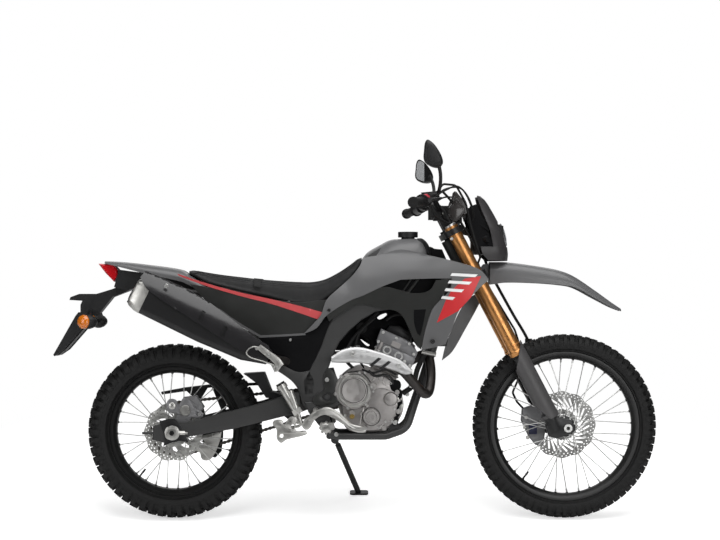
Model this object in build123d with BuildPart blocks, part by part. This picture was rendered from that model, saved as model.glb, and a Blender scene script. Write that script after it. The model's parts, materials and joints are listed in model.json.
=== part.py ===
"""Dual sport motorcycle, parked on its side stand.

Every piece is drawn with the machine upright: +X forward, +Y to the rider's left, +Z up,
the origin on the ground midway between the axles, millimetres. Side-view outlines are (x, z)
points, measured from the piece that carries them. The last section leans the whole machine
onto its stand and puts the origin under the middle of its bounding box.
"""
import os
from math import atan2, cos, pi, radians, sin, sqrt, tan

from build123d import *

os.makedirs("parts", exist_ok=True)

# ------------------------------------------------------------------ driving sizes
WHEELBASE = 1455.0
RAKE = 27.5            # steering axis, degrees back from upright
LEAN = 11.0            # parked lean to the left, degrees
SEAT_GAP = 0.3         # between pieces of one body that bear on each other
RUN_GAP = 0.05         # radial, a shaft that turns in its bore
MOVE_GAP = 5.0         # between pieces that pass each other as they move
FORK_OFFSET = 24.0     # fork tubes ahead of the steering axis
AXLE_LEAD = 38.0       # front axle ahead of the fork tubes
FORK_Y = 100.0         # fork tubes, half their spacing
TUBE_R = 26.0          # fork outer tube
LEG_R = 21.5           # fork inner tube
AXLE_R = 10.0
AXLE_BORE = 7.0        # hollow axles
PRESS_GAP = 0.02       # radial, an axle clamped in its hole
BAR_R = 11.1           # handlebar tube
GRIP_Y = 410.0         # outer end of the handlebar
PLATE_Y = 118.0        # outer face of the frame's spars and pivot plates
PLATE_T = 17.0         # their thickness
ARM_Y = 110.0          # outer face of the swingarm
CHAIN_Y = 72.0         # chain line
CHAIN_W = 16.0
CHAIN_H = 15.0
LINK = 15.875          # chain pitch
REAR_SPROCKET_R = 101.2   # pitch radius
FRONT_SPROCKET_R = 36.0
DISC_BORE = 20.0

# A tyre and its rim: tread radius, half width, shoulder (y, drop below the crown), block height
# and count, bead seat radius, rim half width, inner radius and flange radius, number of spokes
FRONT = dict(r=344.0, half=41.0, shoulder=(37.0, 20.0), lug=9.0, blocks=34, bead=268.0, rim_y=24.0,
             rim_r=251.0, flange=279.0, spokes=36)
REAR = dict(r=326.0, half=60.0, shoulder=(54.0, 28.0), lug=11.0, blocks=30, bead=230.0, rim_y=31.0,
            rim_r=216.5, flange=241.0, spokes=32)

FRONT_AXLE = Vector(WHEELBASE / 2, 0, FRONT["r"])
REAR_AXLE = Vector(-WHEELBASE / 2, 0, REAR["r"])
PIVOT = Vector(-158, 0, 459)              # swingarm pivot
OUTPUT = Vector(-88, 0, 458)              # gearbox output shaft
CRANK = Vector(15, 0, 430)

UP = Vector(-sin(radians(RAKE)), 0, cos(radians(RAKE)))       # along the steering axis
AHEAD = Vector(cos(radians(RAKE)), 0, sin(radians(RAKE)))     # square to it, forward
FORK_FOOT = FRONT_AXLE - AHEAD * AXLE_LEAD
STEER_FOOT = FORK_FOOT - AHEAD * FORK_OFFSET
LOWER_CLAMP, UPPER_CLAMP = 622.0, 824.0     # undersides, measured up the steering axis
LOWER_THICK, UPPER_THICK = 38.0, 22.0
LOWER = STEER_FOOT + UP * LOWER_CLAMP
HEAD = STEER_FOOT + UP * UPPER_CLAMP

# ------------------------------------------------------------------ helpers


def around(anchor, outline):
    """Side-view points measured from an anchor."""
    return [(anchor.X + x, anchor.Z + z) for x, z in outline]


def fork_at(up, side=0.0):
    """A point on a fork leg's axis; side is -1 right, +1 left."""
    return FORK_FOOT + UP * up + Vector(0, side * FORK_Y, 0)


def steer_plane(up, ahead=0.0):
    """Square to the steering axis: local x forward, local y left."""
    return Plane(origin=STEER_FOOT + UP * up + AHEAD * ahead, x_dir=AHEAD, z_dir=UP)


def side_plane(y, x=0.0, z=0.0):
    """Upright plane along the machine: local x forward, local y up, facing right."""
    return Plane(origin=(x, y, z), x_dir=(1, 0, 0), z_dir=(0, -1, 0))


def cross_plane(x, z=0.0):
    """Upright plane across the machine: local x left, local y up."""
    return Plane(origin=(x, 0, z), x_dir=(0, 1, 0), z_dir=(1, 0, 0))


def bar(start, end, radius, bore=0.0):
    """Round bar or tube between two points."""
    run = Vector(*end) - Vector(*start)
    with BuildPart() as rod:
        with BuildSketch(Plane(origin=Vector(*start), z_dir=run)):
            Circle(radius)
            if bore:
                Circle(bore, mode=Mode.SUBTRACT)
        extrude(amount=run.length)
    return rod.part


def pin(point, y0, y1, radius):
    """Round bar across the machine, through a side-view point."""
    return bar((point.X, y0, point.Z), (point.X, y1, point.Z), radius)


def tube(points, bends, radius):
    """Round tube along straight runs joined by arcs."""
    with BuildPart() as pipe:
        with BuildLine() as route:
            FilletPolyline(*points, radius=bends)
        with BuildSketch(Plane(origin=route.line @ 0, z_dir=route.line % 0)):
            Circle(radius)
        sweep()
    return pipe.part


def slab(outline, y0, y1, edge=0.0, rounding=0.0):
    """A side-view outline made solid between two distances across, rims chamfered by edge."""
    low, high = sorted((y0, y1))
    with BuildPart() as block:
        with BuildSketch(side_plane(high)) as profile:
            with BuildLine():
                Polyline(*outline, close=True)
            make_face()
            if rounding:
                fillet(profile.vertices(), rounding)
        extrude(amount=high - low)
        if edge:
            chamfer(block.faces().filter_by(Axis.Y).edges(), edge)
    return block.part


def ruled(stations):
    """Closed (y, z) outlines standing across the machine at each x, joined by flats."""
    with BuildPart() as body:
        for x, outline in stations:
            with BuildSketch(cross_plane(x)):
                with BuildLine():
                    Polyline(*outline, close=True)
                make_face()
        loft(ruled=True)
    return body.part


def mirrored(half):
    """Closes a left-to-right symmetric outline from its left half."""
    return half + [(-y, z) for y, z in reversed(half) if y]


def arch(half_width, top, edge, wall):
    """An arch-shaped shell section, open below: crown, shoulders and skirts."""
    inset = half_width * 0.22
    drop = (top - edge) * 0.3
    outer = [(0, top), (half_width - inset, top - wall * 0.4), (half_width, top - drop), (half_width, edge)]
    inner = [(half_width - wall, edge), (half_width - wall, top - drop - wall * 0.4),
             (half_width - inset - wall * 0.4, top - wall * 1.4), (0, top - wall)]
    return mirrored(outer + inner)


def blade(rows, wall, inboard=0.0):
    """A bent skin on the left: rows of (x, [(y, z) from top to bottom]) outer points."""
    return ruled([(x, [(y - inboard, z) for y, z in outer] +
                   [(y - inboard - wall, z) for y, z in reversed(outer)]) for x, outer in rows])


def both_sides(part):
    """The left piece and its mirror image."""
    return [part, part.mirror(Plane.XZ)]


# ------------------------------------------------------------------ wheels


def block_ring(size, y0, y1, phase):
    """A band of tread blocks: two coarse gears, one at each edge of the band, joined by flats."""
    shoulder_y, drop = size["shoulder"]
    step = 2 * pi / size["blocks"]
    with BuildPart() as band:
        for y in sorted((y0, y1)):
            tip = size["r"] - drop * (y / shoulder_y) ** 2
            foot = tip - size["lug"] - 3
            outline = []
            for k in range(size["blocks"]):
                a = (k + phase) * step
                for radius, turn in ((foot, -0.31), (tip, -0.31), (tip, 0.31), (foot, 0.31)):
                    angle = a + turn * step
                    outline.append((radius * cos(angle), radius * sin(angle)))
            with BuildSketch(side_plane(y)):
                with BuildLine():
                    Polyline(*outline, close=True)
                make_face()
        loft(ruled=True)
        with BuildSketch(side_plane(max(y0, y1) + 1)):
            Circle(size["r"] - drop - size["lug"] - 6)
        extrude(amount=abs(y1 - y0) + 2, mode=Mode.SUBTRACT)
    return band.part


def tyre(axle, size):
    """Carcass from bead to bead with the rim's channel left free, then bands of tread blocks."""
    shoulder_y, drop = size["shoulder"]
    crown = size["r"] - size["lug"]
    low = crown - drop
    bead_y = size["rim_y"] - 3 - SEAT_GAP
    over = size["flange"] + SEAT_GAP
    half = [(shoulder_y * 0.5, crown - drop * 0.25), (shoulder_y, low), (size["half"], low - 14),
            (size["rim_y"] + 3, over), (bead_y, over), (bead_y, size["bead"])]
    with BuildPart() as ring:
        with BuildSketch(cross_plane(0)):
            with BuildLine():
                Polyline(*half, *[(-y, z) for y, z in reversed(half)], close=True)
            make_face()
        revolve(axis=Axis.Y)
        add(block_ring(size, -shoulder_y * 0.36, shoulder_y * 0.36, 0.0))
        for side in (-1, 1):
            add(block_ring(size, side * shoulder_y * 0.56, side * shoulder_y * 1.04, 0.5))
    return ring.part.moved(Location(axle))


def laced_wheel(axle, size, hub):
    """Rim, spokes and hub as one. hub is (y, radius) steps from right to left."""
    y, seat, low = size["rim_y"], size["bead"] - SEAT_GAP, size["rim_r"]
    flange = size["flange"]
    rim = [(-y, flange), (3 - y, flange), (3 - y, seat), (14 - y, seat - 8), (y - 14, seat - 8),
           (y - 3, seat), (y - 3, flange), (y, flange), (y, low + 10), (y * 0.4, low),
           (-y * 0.4, low), (-y, low + 10)]
    outline = [(hub[0][0], AXLE_R + RUN_GAP)]
    for (y0, radius), (y1, _) in zip(hub, hub[1:]):
        outline += [(y0, radius), (y1, radius)]
    outline += [(hub[-1][0], AXLE_R + RUN_GAP)]
    per_side = size["spokes"] // 2
    step = 360 / per_side
    with BuildPart() as wheel:
        for section in (rim, outline):
            with BuildSketch(cross_plane(0)):
                with BuildLine():
                    Polyline(*section, close=True)
                make_face()
            revolve(axis=Axis.Y)
        for side in (-1, 1):
            for k in range(per_side):
                turn = 1 if k % 2 else -1
                foot = radians(step * (k + (0.5 if side > 0 else 0)))
                tip = foot + turn * radians(42)
                start = Vector(33 * cos(foot), side * (29 + 3 * turn), 33 * sin(foot))
                end = Vector((low + 3) * cos(tip), side * 5, (low + 3) * sin(tip))
                with BuildSketch(Plane(origin=start, z_dir=end - start)):
                    RegularPolygon(SPOKE_R, 6)
                extrude(amount=(end - start).length)
    return wheel.part.moved(Location(axle))


def disc(axle, y, thickness, outer, inner, waves):
    """Brake disc: a waved band with a row of holes, carried by slanted arms."""
    band = outer - 26
    arms = 2 * waves
    with BuildPart() as plate:
        with BuildSketch(side_plane(y + thickness, axle.X, axle.Z)):
            Circle(outer)
            with PolarLocations(outer + 18, waves):
                Circle(22, mode=Mode.SUBTRACT)
            with PolarLocations(outer - 15, arms):
                RegularPolygon(4, 6, mode=Mode.SUBTRACT)
            with PolarLocations((band + inner) / 2, arms):
                Rectangle(band - inner, pi * inner / arms, rotation=28, mode=Mode.SUBTRACT)
            Circle(DISC_BORE, mode=Mode.SUBTRACT)
        extrude(amount=thickness)
    return plate.part


SPOKE_R = 2.2
FRONT_DISC_Y = 62.0
REAR_DISC_Y = -71.5
DISC_T, REAR_DISC_T = 4.0, 3.5
FRONT_DISC_R, REAR_DISC_R = 127.0, 109.0
FRONT_HUB = [(-48, 18), (-34, 26), (-33, 38), (-26, 22), (26, 38), (34, 26), (44, 34),
             (FRONT_DISC_Y - SEAT_GAP, 34)]
REAR_HUB = [(REAR_DISC_Y + REAR_DISC_T + SEAT_GAP, 40), (-52, 26), (-34, 38), (-26, 24), (26, 38),
            (34, 28), (50, 44), (CHAIN_Y - 3.5 - SEAT_GAP, 44)]

with BuildPart() as front_tyre:
    add(tyre(FRONT_AXLE, FRONT))
front_tyre.part.label = "front_tyre"

with BuildPart() as front_rim:
    add(laced_wheel(FRONT_AXLE, FRONT, FRONT_HUB))
front_rim.part.label = "front_rim"

with BuildPart() as front_disc:
    add(disc(FRONT_AXLE, FRONT_DISC_Y, DISC_T, FRONT_DISC_R, 58, 12))
front_disc.part.label = "front_disc"

with BuildPart() as rear_tyre:
    add(tyre(REAR_AXLE, REAR))
rear_tyre.part.label = "rear_tyre"

with BuildPart() as rear_rim:
    add(laced_wheel(REAR_AXLE, REAR, REAR_HUB))
rear_rim.part.label = "rear_rim"

with BuildPart() as rear_disc:
    add(disc(REAR_AXLE, REAR_DISC_Y, REAR_DISC_T, REAR_DISC_R, 54, 10))
rear_disc.part.label = "rear_disc"

SPROCKET_T = 7.0
SPROCKET_TIP = REAR_SPROCKET_R - CHAIN_H / 2 - MOVE_GAP
TEETH = 40
with BuildPart() as rear_sprocket:
    toothed = []
    for k in range(TEETH):
        for share, radius in ((0.0, SPROCKET_TIP - 6), (0.3, SPROCKET_TIP), (0.55, SPROCKET_TIP),
                              (0.85, SPROCKET_TIP - 6)):
            angle = 2 * pi * (k + share) / TEETH
            toothed.append((radius * cos(angle), radius * sin(angle)))
    with BuildSketch(side_plane(CHAIN_Y + SPROCKET_T / 2, REAR_AXLE.X, REAR_AXLE.Z)):
        with BuildLine():
            Polyline(*toothed, close=True)
        make_face()
        Circle(DISC_BORE, mode=Mode.SUBTRACT)
        with PolarLocations(64, 8):
            Rectangle(22, 24, rotation=20, mode=Mode.SUBTRACT)
    extrude(amount=SPROCKET_T)
rear_sprocket.part.label = "rear_sprocket"

# ------------------------------------------------------------------ axles

FOOT_IN, FOOT_OUT = 84.0, 124.0        # the fork feet, inner and outer faces
HUB_GAP = 0.5
COLLAR_R = 16.0
FRONT_HEAD, FRONT_END = 8.0, 2.0       # how far the front axle stands out, right and left
REAR_HEAD, REAR_END = 9.0, 12.0
ARM_IN = 88.0                          # inner face of the swingarm's legs

with BuildPart() as front_axle:
    with BuildSketch(cross_plane(FRONT_AXLE.X, FRONT_AXLE.Z)):
        with BuildLine():
            Polyline((-FOOT_OUT - FRONT_HEAD, AXLE_BORE), (-FOOT_OUT - FRONT_HEAD, COLLAR_R - 1),
                     (-FOOT_OUT - SEAT_GAP, COLLAR_R - 1), (-FOOT_OUT - SEAT_GAP, AXLE_R),
                     (-FOOT_IN + SEAT_GAP, AXLE_R), (-FOOT_IN + SEAT_GAP, COLLAR_R),
                     (FRONT_HUB[0][0] - HUB_GAP, COLLAR_R), (FRONT_HUB[0][0] - HUB_GAP, AXLE_R),
                     (FRONT_DISC_Y + DISC_T + HUB_GAP, AXLE_R),
                     (FRONT_DISC_Y + DISC_T + HUB_GAP, COLLAR_R), (FOOT_IN - SEAT_GAP, COLLAR_R),
                     (FOOT_IN - SEAT_GAP, AXLE_R), (FOOT_OUT + FRONT_END, AXLE_R),
                     (FOOT_OUT + FRONT_END, AXLE_BORE), close=True)
        make_face()
    revolve(axis=Axis(FRONT_AXLE, (0, 1, 0)))
front_axle.part.label = "front_axle"

with BuildPart() as rear_axle:
    with BuildSketch(cross_plane(REAR_AXLE.X, REAR_AXLE.Z)):
        with BuildLine():
            Polyline((-ARM_Y - REAR_HEAD, AXLE_BORE), (-ARM_Y - REAR_HEAD, COLLAR_R),
                     (-ARM_Y - SEAT_GAP, COLLAR_R), (-ARM_Y - SEAT_GAP, AXLE_R),
                     (CHAIN_Y + 4 + HUB_GAP, AXLE_R), (CHAIN_Y + 4 + HUB_GAP, COLLAR_R),
                     (ARM_IN - SEAT_GAP, COLLAR_R), (ARM_IN - SEAT_GAP, AXLE_R),
                     (ARM_Y + SEAT_GAP, AXLE_R), (ARM_Y + SEAT_GAP, COLLAR_R),
                     (ARM_Y + REAR_END, COLLAR_R), (ARM_Y + REAR_END, AXLE_BORE), close=True)
        make_face()
    revolve(axis=Axis(REAR_AXLE, (0, 1, 0)))
rear_axle.part.label = "rear_axle"

# ------------------------------------------------------------------ fork and steering

STEM_R = 15.0
TUBE_LOW, TUBE_TOP = 314.0, UPPER_CLAMP + UPPER_THICK + 10     # ends of the fork's outer tubes
RISER = 75.0                                # handlebar centre above the upper clamp
BAR_AHEAD = 16.6                            # handlebar centre ahead of the steering axis
BAR_UP = UPPER_CLAMP + UPPER_THICK + RISER
BAR_CENTRE = STEER_FOOT + UP * BAR_UP + AHEAD * BAR_AHEAD
RISER_Y = 42.0


def clamp(up, thick):
    """A triple clamp: two tube eyes joined through the stem's boss."""
    with BuildPart() as plate:
        with BuildSketch(steer_plane(up)):
            with Locations((FORK_OFFSET, FORK_Y), (FORK_OFFSET, -FORK_Y)):
                Circle(TUBE_R + 11)
            with BuildLine():
                Polyline((-26, 30), (-12, 70), (FORK_OFFSET - 22, FORK_Y + 25),
                         (FORK_OFFSET + 32, FORK_Y + 12), (34, 30), (34, -30),
                         (FORK_OFFSET + 32, -FORK_Y - 12), (FORK_OFFSET - 22, -FORK_Y - 25),
                         (-12, -70), (-26, -30), close=True)
            make_face()
            with Locations((FORK_OFFSET, FORK_Y), (FORK_OFFSET, -FORK_Y)):
                Circle(TUBE_R + SEAT_GAP, mode=Mode.SUBTRACT)
        extrude(amount=thick)
    return plate.part


STAY_Y = 24.0
STAY_NOSE, STAY_TOP = LOWER.X + 115, LOWER.Z + 82      # front fender's mounting shelf
with BuildPart() as triple_clamps:
    add(clamp(LOWER_CLAMP, LOWER_THICK))
    add(clamp(UPPER_CLAMP, UPPER_THICK))
    with BuildSketch(steer_plane(LOWER_CLAMP + LOWER_THICK)):
        Circle(STEM_R)
    extrude(amount=UPPER_CLAMP - LOWER_CLAMP - LOWER_THICK)
    with BuildSketch(steer_plane(UPPER_CLAMP + UPPER_THICK)):
        Circle(17)
    extrude(amount=9)
    for side in (-1, 1):
        with BuildSketch(steer_plane(UPPER_CLAMP + UPPER_THICK, BAR_AHEAD)):
            with Locations((0, side * RISER_Y)):
                RectangleRounded(38, 24, 5)
        extrude(amount=RISER + 20)
    add(bar(BAR_CENTRE - Vector(0, 60, 0), BAR_CENTRE + Vector(0, 60, 0), BAR_R + SEAT_GAP),
        mode=Mode.SUBTRACT)
    add(slab(around(LOWER, [(20, 28), (55, 38), (115, 55), (115, 82), (40, 82), (13, 48)]),
             -STAY_Y, STAY_Y))
triple_clamps.part.label = "triple_clamps"

with BuildPart() as fork_tubes:
    for side in (-1, 1):
        add(bar(fork_at(TUBE_LOW, side), fork_at(TUBE_TOP, side), TUBE_R))
        add(bar(fork_at(TUBE_LOW, side), fork_at(TUBE_LOW + 26, side), TUBE_R + 3))
        add(bar(fork_at(TUBE_LOW + 44, side), fork_at(TUBE_LOW + 50, side), TUBE_R + 2))
        add(bar(fork_at(TUBE_LOW - 1, side), fork_at(TUBE_LOW + 40, side), LEG_R + SEAT_GAP),
            mode=Mode.SUBTRACT)
        add(bar(fork_at(TUBE_TOP, side), fork_at(TUBE_TOP + 8, side), TUBE_R - 5))
fork_tubes.part.label = "fork_tubes"

FOOT_OUTLINE = around(FRONT_AXLE, [(-82, 5), (-56, 48), (-18, 36), (18, 27), (28, -6), (14, -21),
                                   (-38, -37), (-68, -32)])
with BuildPart() as fork_legs:
    for side in (-1, 1):
        add(bar(fork_at(20, side), fork_at(TUBE_LOW + 38, side), LEG_R))
        add(bar(fork_at(10, side), fork_at(80, side), LEG_R + 5))
        add(slab(FOOT_OUTLINE, side * FOOT_IN, side * FOOT_OUT, 3))
    add(pin(FRONT_AXLE, -140, 140, AXLE_R + PRESS_GAP), mode=Mode.SUBTRACT)
    for side in (-1, 1):
        add(pin(FRONT_AXLE, side * (FOOT_IN - 30), side * FOOT_IN, 40), mode=Mode.SUBTRACT)
fork_legs.part.label = "fork_legs"

GUARD_OUTLINE = around(FRONT_AXLE, [(-172, 327), (-152, 303), (-108, 218), (-74, 143), (-22, 42),
                                    (-38, 28), (-68, 36), (-126, 84), (-188, 181),
                                    (-188, 225)])
GUARD_IN, GUARD_OUT = TUBE_R + 5.0, TUBE_R + 9.0
with BuildPart() as fork_guards:
    for side in (-1, 1):
        add(bar(fork_at(60, side), fork_at(400, side), GUARD_OUT, GUARD_IN))
    add(slab(GUARD_OUTLINE, -FORK_Y - 60, FORK_Y + 60), mode=Mode.INTERSECT)
    add(slab(around(FRONT_AXLE, [(-428, -144), (172, -144), (172, 456), (-428, 456)]),
             -FORK_Y + 12, FORK_Y - 12), mode=Mode.SUBTRACT)
    for side in (-1, 1):
        add(bar(fork_at(66, side), fork_at(78, side), GUARD_IN + 1))
    add(fork_legs.part, mode=Mode.SUBTRACT)
fork_guards.part.label = "fork_guards"

# Front fender sections from the lower clamp: x, half width, crown z, skirt z
FENDER = [(60, 54, 85, 5), (127, 62, 86, 13), (234, 68, 74, 12), (323, 70, 57, 5), (377, 66, 35, -5),
          (453, 52, -16, -45), (549, 22, -81, -90)]
with BuildPart() as front_fender:
    add(ruled([(LOWER.X + x, arch(w, LOWER.Z + top, LOWER.Z + edge, 4.0)) for x, w, top, edge in FENDER]))
    add(slab([(STAY_NOSE - 75, STAY_TOP - 46), (STAY_NOSE + 4, STAY_TOP - 46),
              (STAY_NOSE + 4, STAY_TOP + SEAT_GAP), (STAY_NOSE - 75, STAY_TOP + SEAT_GAP)],
             -STAY_Y - SEAT_GAP, STAY_Y + SEAT_GAP), mode=Mode.SUBTRACT)
    add(triple_clamps.part, mode=Mode.SUBTRACT)
front_fender.part.label = "front_fender"

# Headlight mask from the upper clamp, by height: nose x, corner (x, y), back (x, y)
MASK = [(-84, 223, (214, 62), (148, 88)), (-26, 220, (208, 78), (133, 100)),
        (24, 205, (194, 84), (123, 104)), (69, 184, (174, 80), (108, 100)),
        (144, 150, (138, 62), (88, 78)), (160, 132, (120, 50), (86, 66))]
MASK_WALL = 5.0


def mask_ring(nose, corner, back, wall):
    """Horizontal section of the mask: a U, open to the rear."""
    outer = [(nose, 0), corner, back]
    inner = [(back[0], back[1] - wall), (corner[0] - wall, corner[1] - wall), (nose - wall, 0)]
    left = outer + inner
    return left + [(x, -y) for x, y in reversed(left) if y]


with BuildPart() as headlight_cowl:
    for z, nose, corner, back in MASK:
        with BuildSketch(Plane(origin=(HEAD.X, 0, HEAD.Z + z))):
            with BuildLine():
                Polyline(*mask_ring(nose, corner, back, MASK_WALL), close=True)
            make_face()
    loft(ruled=True)
    add(slab(around(HEAD, [(68, -43), (168, -43), (131, 42), (113, 82), (94, 126), (58, 126)]), -130, 130),
        mode=Mode.SUBTRACT)
    add(slab(around(HEAD, [(68, -106), (146, -106), (146, -87), (109, -43), (68, -43)]), -130, 130),
        mode=Mode.SUBTRACT)
    with BuildSketch(cross_plane(HEAD.X + 158, HEAD.Z)):
        with BuildLine():
            Polyline((-66, 52), (-50, -36), (50, -36), (66, 52), close=True)
        make_face()
    extrude(amount=90, mode=Mode.SUBTRACT)
headlight_cowl.part.label = "headlight_cowl"

# Lamp body from the upper clamp: x, then half width and height at its top and bottom
LAMP = [(88, (60, 84), (60, -61)), (148, (72, 64), (62, -61)), (178, (62, 48), (46, -32)),
        (204, (56, 44), (42, -28))]
with BuildPart() as headlight:
    add(ruled([(HEAD.X + x, mirrored([(w1, HEAD.Z + z1), (w0, HEAD.Z + z0)]))
               for x, (w1, z1), (w0, z0) in LAMP]))
    for side in (-1, 1):
        add(bar(HEAD + Vector(112, side * 58, -6), HEAD + Vector(144, side * 93, -6), 12))
    add(slab(around(HEAD, [(28, 20), (92, 6), (92, 28), (21, 34)]), -20, 20))
    add(headlight_cowl.part, mode=Mode.SUBTRACT)
    add(triple_clamps.part, mode=Mode.SUBTRACT)
headlight.part.label = "headlight"

with BuildPart() as meter:
    add(slab(around(HEAD, [(0, 104), (14, 140), (21, 172), (28, 172), (60, 134), (80, 94), (60, 80)]),
             -62, 62, 5))
    add(slab(around(HEAD, [(60, 62), (80, 74), (74, 96), (54, 84)]), -14, 14))
    add(slab(around(HEAD, [(-2, 18), (20, 30), (53, 60), (53, 90), (16, 104)]), -14, 14))
    add(triple_clamps.part, mode=Mode.SUBTRACT)
    add(headlight.part, mode=Mode.SUBTRACT)
meter.part.label = "meter"

BAR_PATH = [(0, 0, 0), (0, 66, 0), (-32, 165, 46), (-70, 262, 30), (-112, GRIP_Y, 18)]
BAR_BENDS = [60, 60, 50]
bar_left = [BAR_CENTRE + Vector(*p) for p in BAR_PATH]
with BuildPart() as handlebar:
    half_bar = tube(bar_left, BAR_BENDS, BAR_R)
    add(both_sides(half_bar))
handlebar.part.label = "handlebar"

GRIP_START = 285.0
GRIP_R, GRIP_FLANGE_R = 17.0, 26.0


def on_bar(y):
    """The handlebar's centreline at a distance from the middle, outboard of its bends."""
    a, b = bar_left[3], bar_left[4]
    if abs(y) < a.Y:
        a, b = bar_left[2], bar_left[3]
    share = (abs(y) - a.Y) / (b.Y - a.Y)
    point = a + (b - a) * share
    return Vector(point.X, y, point.Z)


with BuildPart() as grips:
    for side in (-1, 1):
        add(bar(on_bar(side * GRIP_START), on_bar(side * (GRIP_Y + 4)), GRIP_R))
        add(bar(on_bar(side * GRIP_START), on_bar(side * (GRIP_START + 6)), GRIP_FLANGE_R))
        add(bar(on_bar(side * (GRIP_Y - 8)), on_bar(side * (GRIP_Y + 4)), GRIP_R + 3))
    add(handlebar.part, mode=Mode.SUBTRACT)
grips.part.label = "grips"

PERCH_Y, SWITCH_Y = 218.0, 256.0
with BuildPart() as controls:
    for side in (-1, 1):
        add(bar(on_bar(side * (SWITCH_Y - 20)), on_bar(side * (SWITCH_Y + 22)), 22))
        add(bar(on_bar(side * (PERCH_Y - 10)), on_bar(side * (PERCH_Y + 10)), 17))
        perch = on_bar(side * PERCH_Y)
        add(bar(perch + Vector(0, 0, 4), perch + Vector(34, side * 4, 6), 9))
        lever = [perch + Vector(30, side * 2, 6), perch + Vector(46, side * 34, 6),
                 perch + Vector(30, side * 110, -2), perch + Vector(0, side * 176, -10)]
        add(tube(lever, [18, 60], 5.5))
        add(bar(lever[3] - Vector(0, side * 4, 0), lever[3] + Vector(0, side * 4, 0), 8))
    master = on_bar(-PERCH_Y)
    add(slab([(master.X - 19, master.Z + 24), (master.X + 37, master.Z + 36), (master.X + 31, master.Z + 62),
              (master.X - 25, master.Z + 50)], -PERCH_Y - 14, -PERCH_Y + 18, 3))
    add(slab([(master.X - 8, master.Z + 2), (master.X + 30, master.Z + 6), (master.X + 30, master.Z + 40),
              (master.X - 8, master.Z + 30)], -PERCH_Y - 8, -PERCH_Y + 10))
    add(handlebar.part, mode=Mode.SUBTRACT)
controls.part.label = "controls"

# Mirror shell outline, from where its stem meets it
MIRROR_BACK = [(-33, 62), (-14, 55), (7, 30), (22, 0), (24, -22), (12, -32), (-19, -28), (-41, -12),
               (-42, 18)]
MIRROR_IN, MIRROR_OUT = 330.0, 462.0
with BuildPart() as mirrors:
    for side in (-1, 1):
        foot = on_bar(side * PERCH_Y) + Vector(33, side * 4, 8)
        head = BAR_CENTRE + Vector(-34, side * 352, 172)
        add(tube([foot, foot + Vector(12, side * 20, 40), BAR_CENTRE + Vector(-19, side * 300, 122), head],
                 [30, 40], 5))
        add(slab(around(head, MIRROR_BACK), side * MIRROR_IN, side * MIRROR_OUT, 9))
    add(controls.part, mode=Mode.SUBTRACT)
mirrors.part.label = "mirrors"

SIGNAL_OUTLINE = around(HEAD, [(-7, 74), (8, 54), (38, 53), (55, 76), (55, 104), (38, 122), (8, 114)])
with BuildPart() as front_signals:
    for side in (-1, 1):
        add(slab(SIGNAL_OUTLINE, side * 150, side * 205, 9))
        add(bar(HEAD + Vector(43, side * 60, 64), HEAD + Vector(38, side * 152, 80), 7))
    add(bar(HEAD + Vector(43, -60, 64), HEAD + Vector(43, 60, 64), 7))
    add(meter.part, mode=Mode.SUBTRACT)
    add(headlight.part, mode=Mode.SUBTRACT)
front_signals.part.label = "front_signals"

CALIPER_OUTLINE = around(FRONT_AXLE, [(-152, 61), (-118, 73), (-76, 48), (-64, -4), (-72, -74),
                                      (-102, -76), (-128, -44), (-156, 16)])
CALIPER_LUG = around(FRONT_AXLE, [(-88, 28), (-64, 28), (-64, -26), (-88, -26)])
with BuildPart() as front_caliper:
    add(slab(CALIPER_OUTLINE, 50, 80, 3))
    add(bar(FRONT_AXLE + Vector(-122, 78, 28), FRONT_AXLE + Vector(-122, 84, 28), 17))
    add(bar(FRONT_AXLE + Vector(-106, 78, -26), FRONT_AXLE + Vector(-106, 84, -26), 17))
    add(pin(FRONT_AXLE, FRONT_DISC_Y - MOVE_GAP, FRONT_DISC_Y + DISC_T + MOVE_GAP, FRONT_DISC_R + 6),
        mode=Mode.SUBTRACT)
    add(slab(CALIPER_LUG, 79, FOOT_IN - SEAT_GAP))
    add(fork_legs.part, mode=Mode.SUBTRACT)
    add(fork_guards.part, mode=Mode.SUBTRACT)
front_caliper.part.label = "front_caliper"

# Front brake hose, from the master cylinder across to the left leg's caliper
with BuildPart() as brake_hose:
    start = on_bar(-PERCH_Y)
    add(tube([start + Vector(33, 2, 28), start + Vector(54, 4, 58),
              HEAD + Vector(20, -190, 186), HEAD + Vector(58, -150, 124),
              HEAD + Vector(80, -132, 34), HEAD + Vector(114, -112, -74),
              HEAD + Vector(120, 100, -91), HEAD + Vector(148, 140, -156),
              HEAD + Vector(264, 142, -346), FRONT_AXLE + Vector(-136, 150, 246),
              FRONT_AXLE + Vector(-158, 150, 166), FRONT_AXLE + Vector(-182, 124, 118),
              FRONT_AXLE + Vector(-168, 86, 84), FRONT_AXLE + Vector(-136, 72, 50)],
             [16, 30, 50, 60, 25, 25, 60, 60, 50, 30, 22, 18], 4))
    add(front_caliper.part, mode=Mode.SUBTRACT)
    add(controls.part, mode=Mode.SUBTRACT)
    add(fork_guards.part, mode=Mode.SUBTRACT)
brake_hose.part.label = "brake_hose"

# ------------------------------------------------------------------ frame and stand


def ground_z(y):
    """Height of the floor, in the upright frame, at a distance to the left."""
    return y * tan(radians(LEAN)) - 1.1


STAND_PIVOT = Vector(-130, 128, 284)
STAND_TIP = Vector(-40, 300, ground_z(300))
STAND_FOLDED = Vector(-0.95, 0.15, 0.27).normalized()       # leg's direction once folded
STAND_LINE = (STAND_TIP - STAND_PIVOT).normalized()
STAND_AXIS = STAND_LINE.cross(STAND_FOLDED).normalized()
STAND_TRAVEL = STAND_LINE.get_angle(STAND_FOLDED)
STAND_HALF, LUG_T, LUG_R = 7.0, 5.0, 14.0
STAND_PIN_R = 6.0
LUG_LINE = Vector(STAND_PIVOT.X, 105, 313) - STAND_PIVOT    # from the pin to the cradle tube

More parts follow.
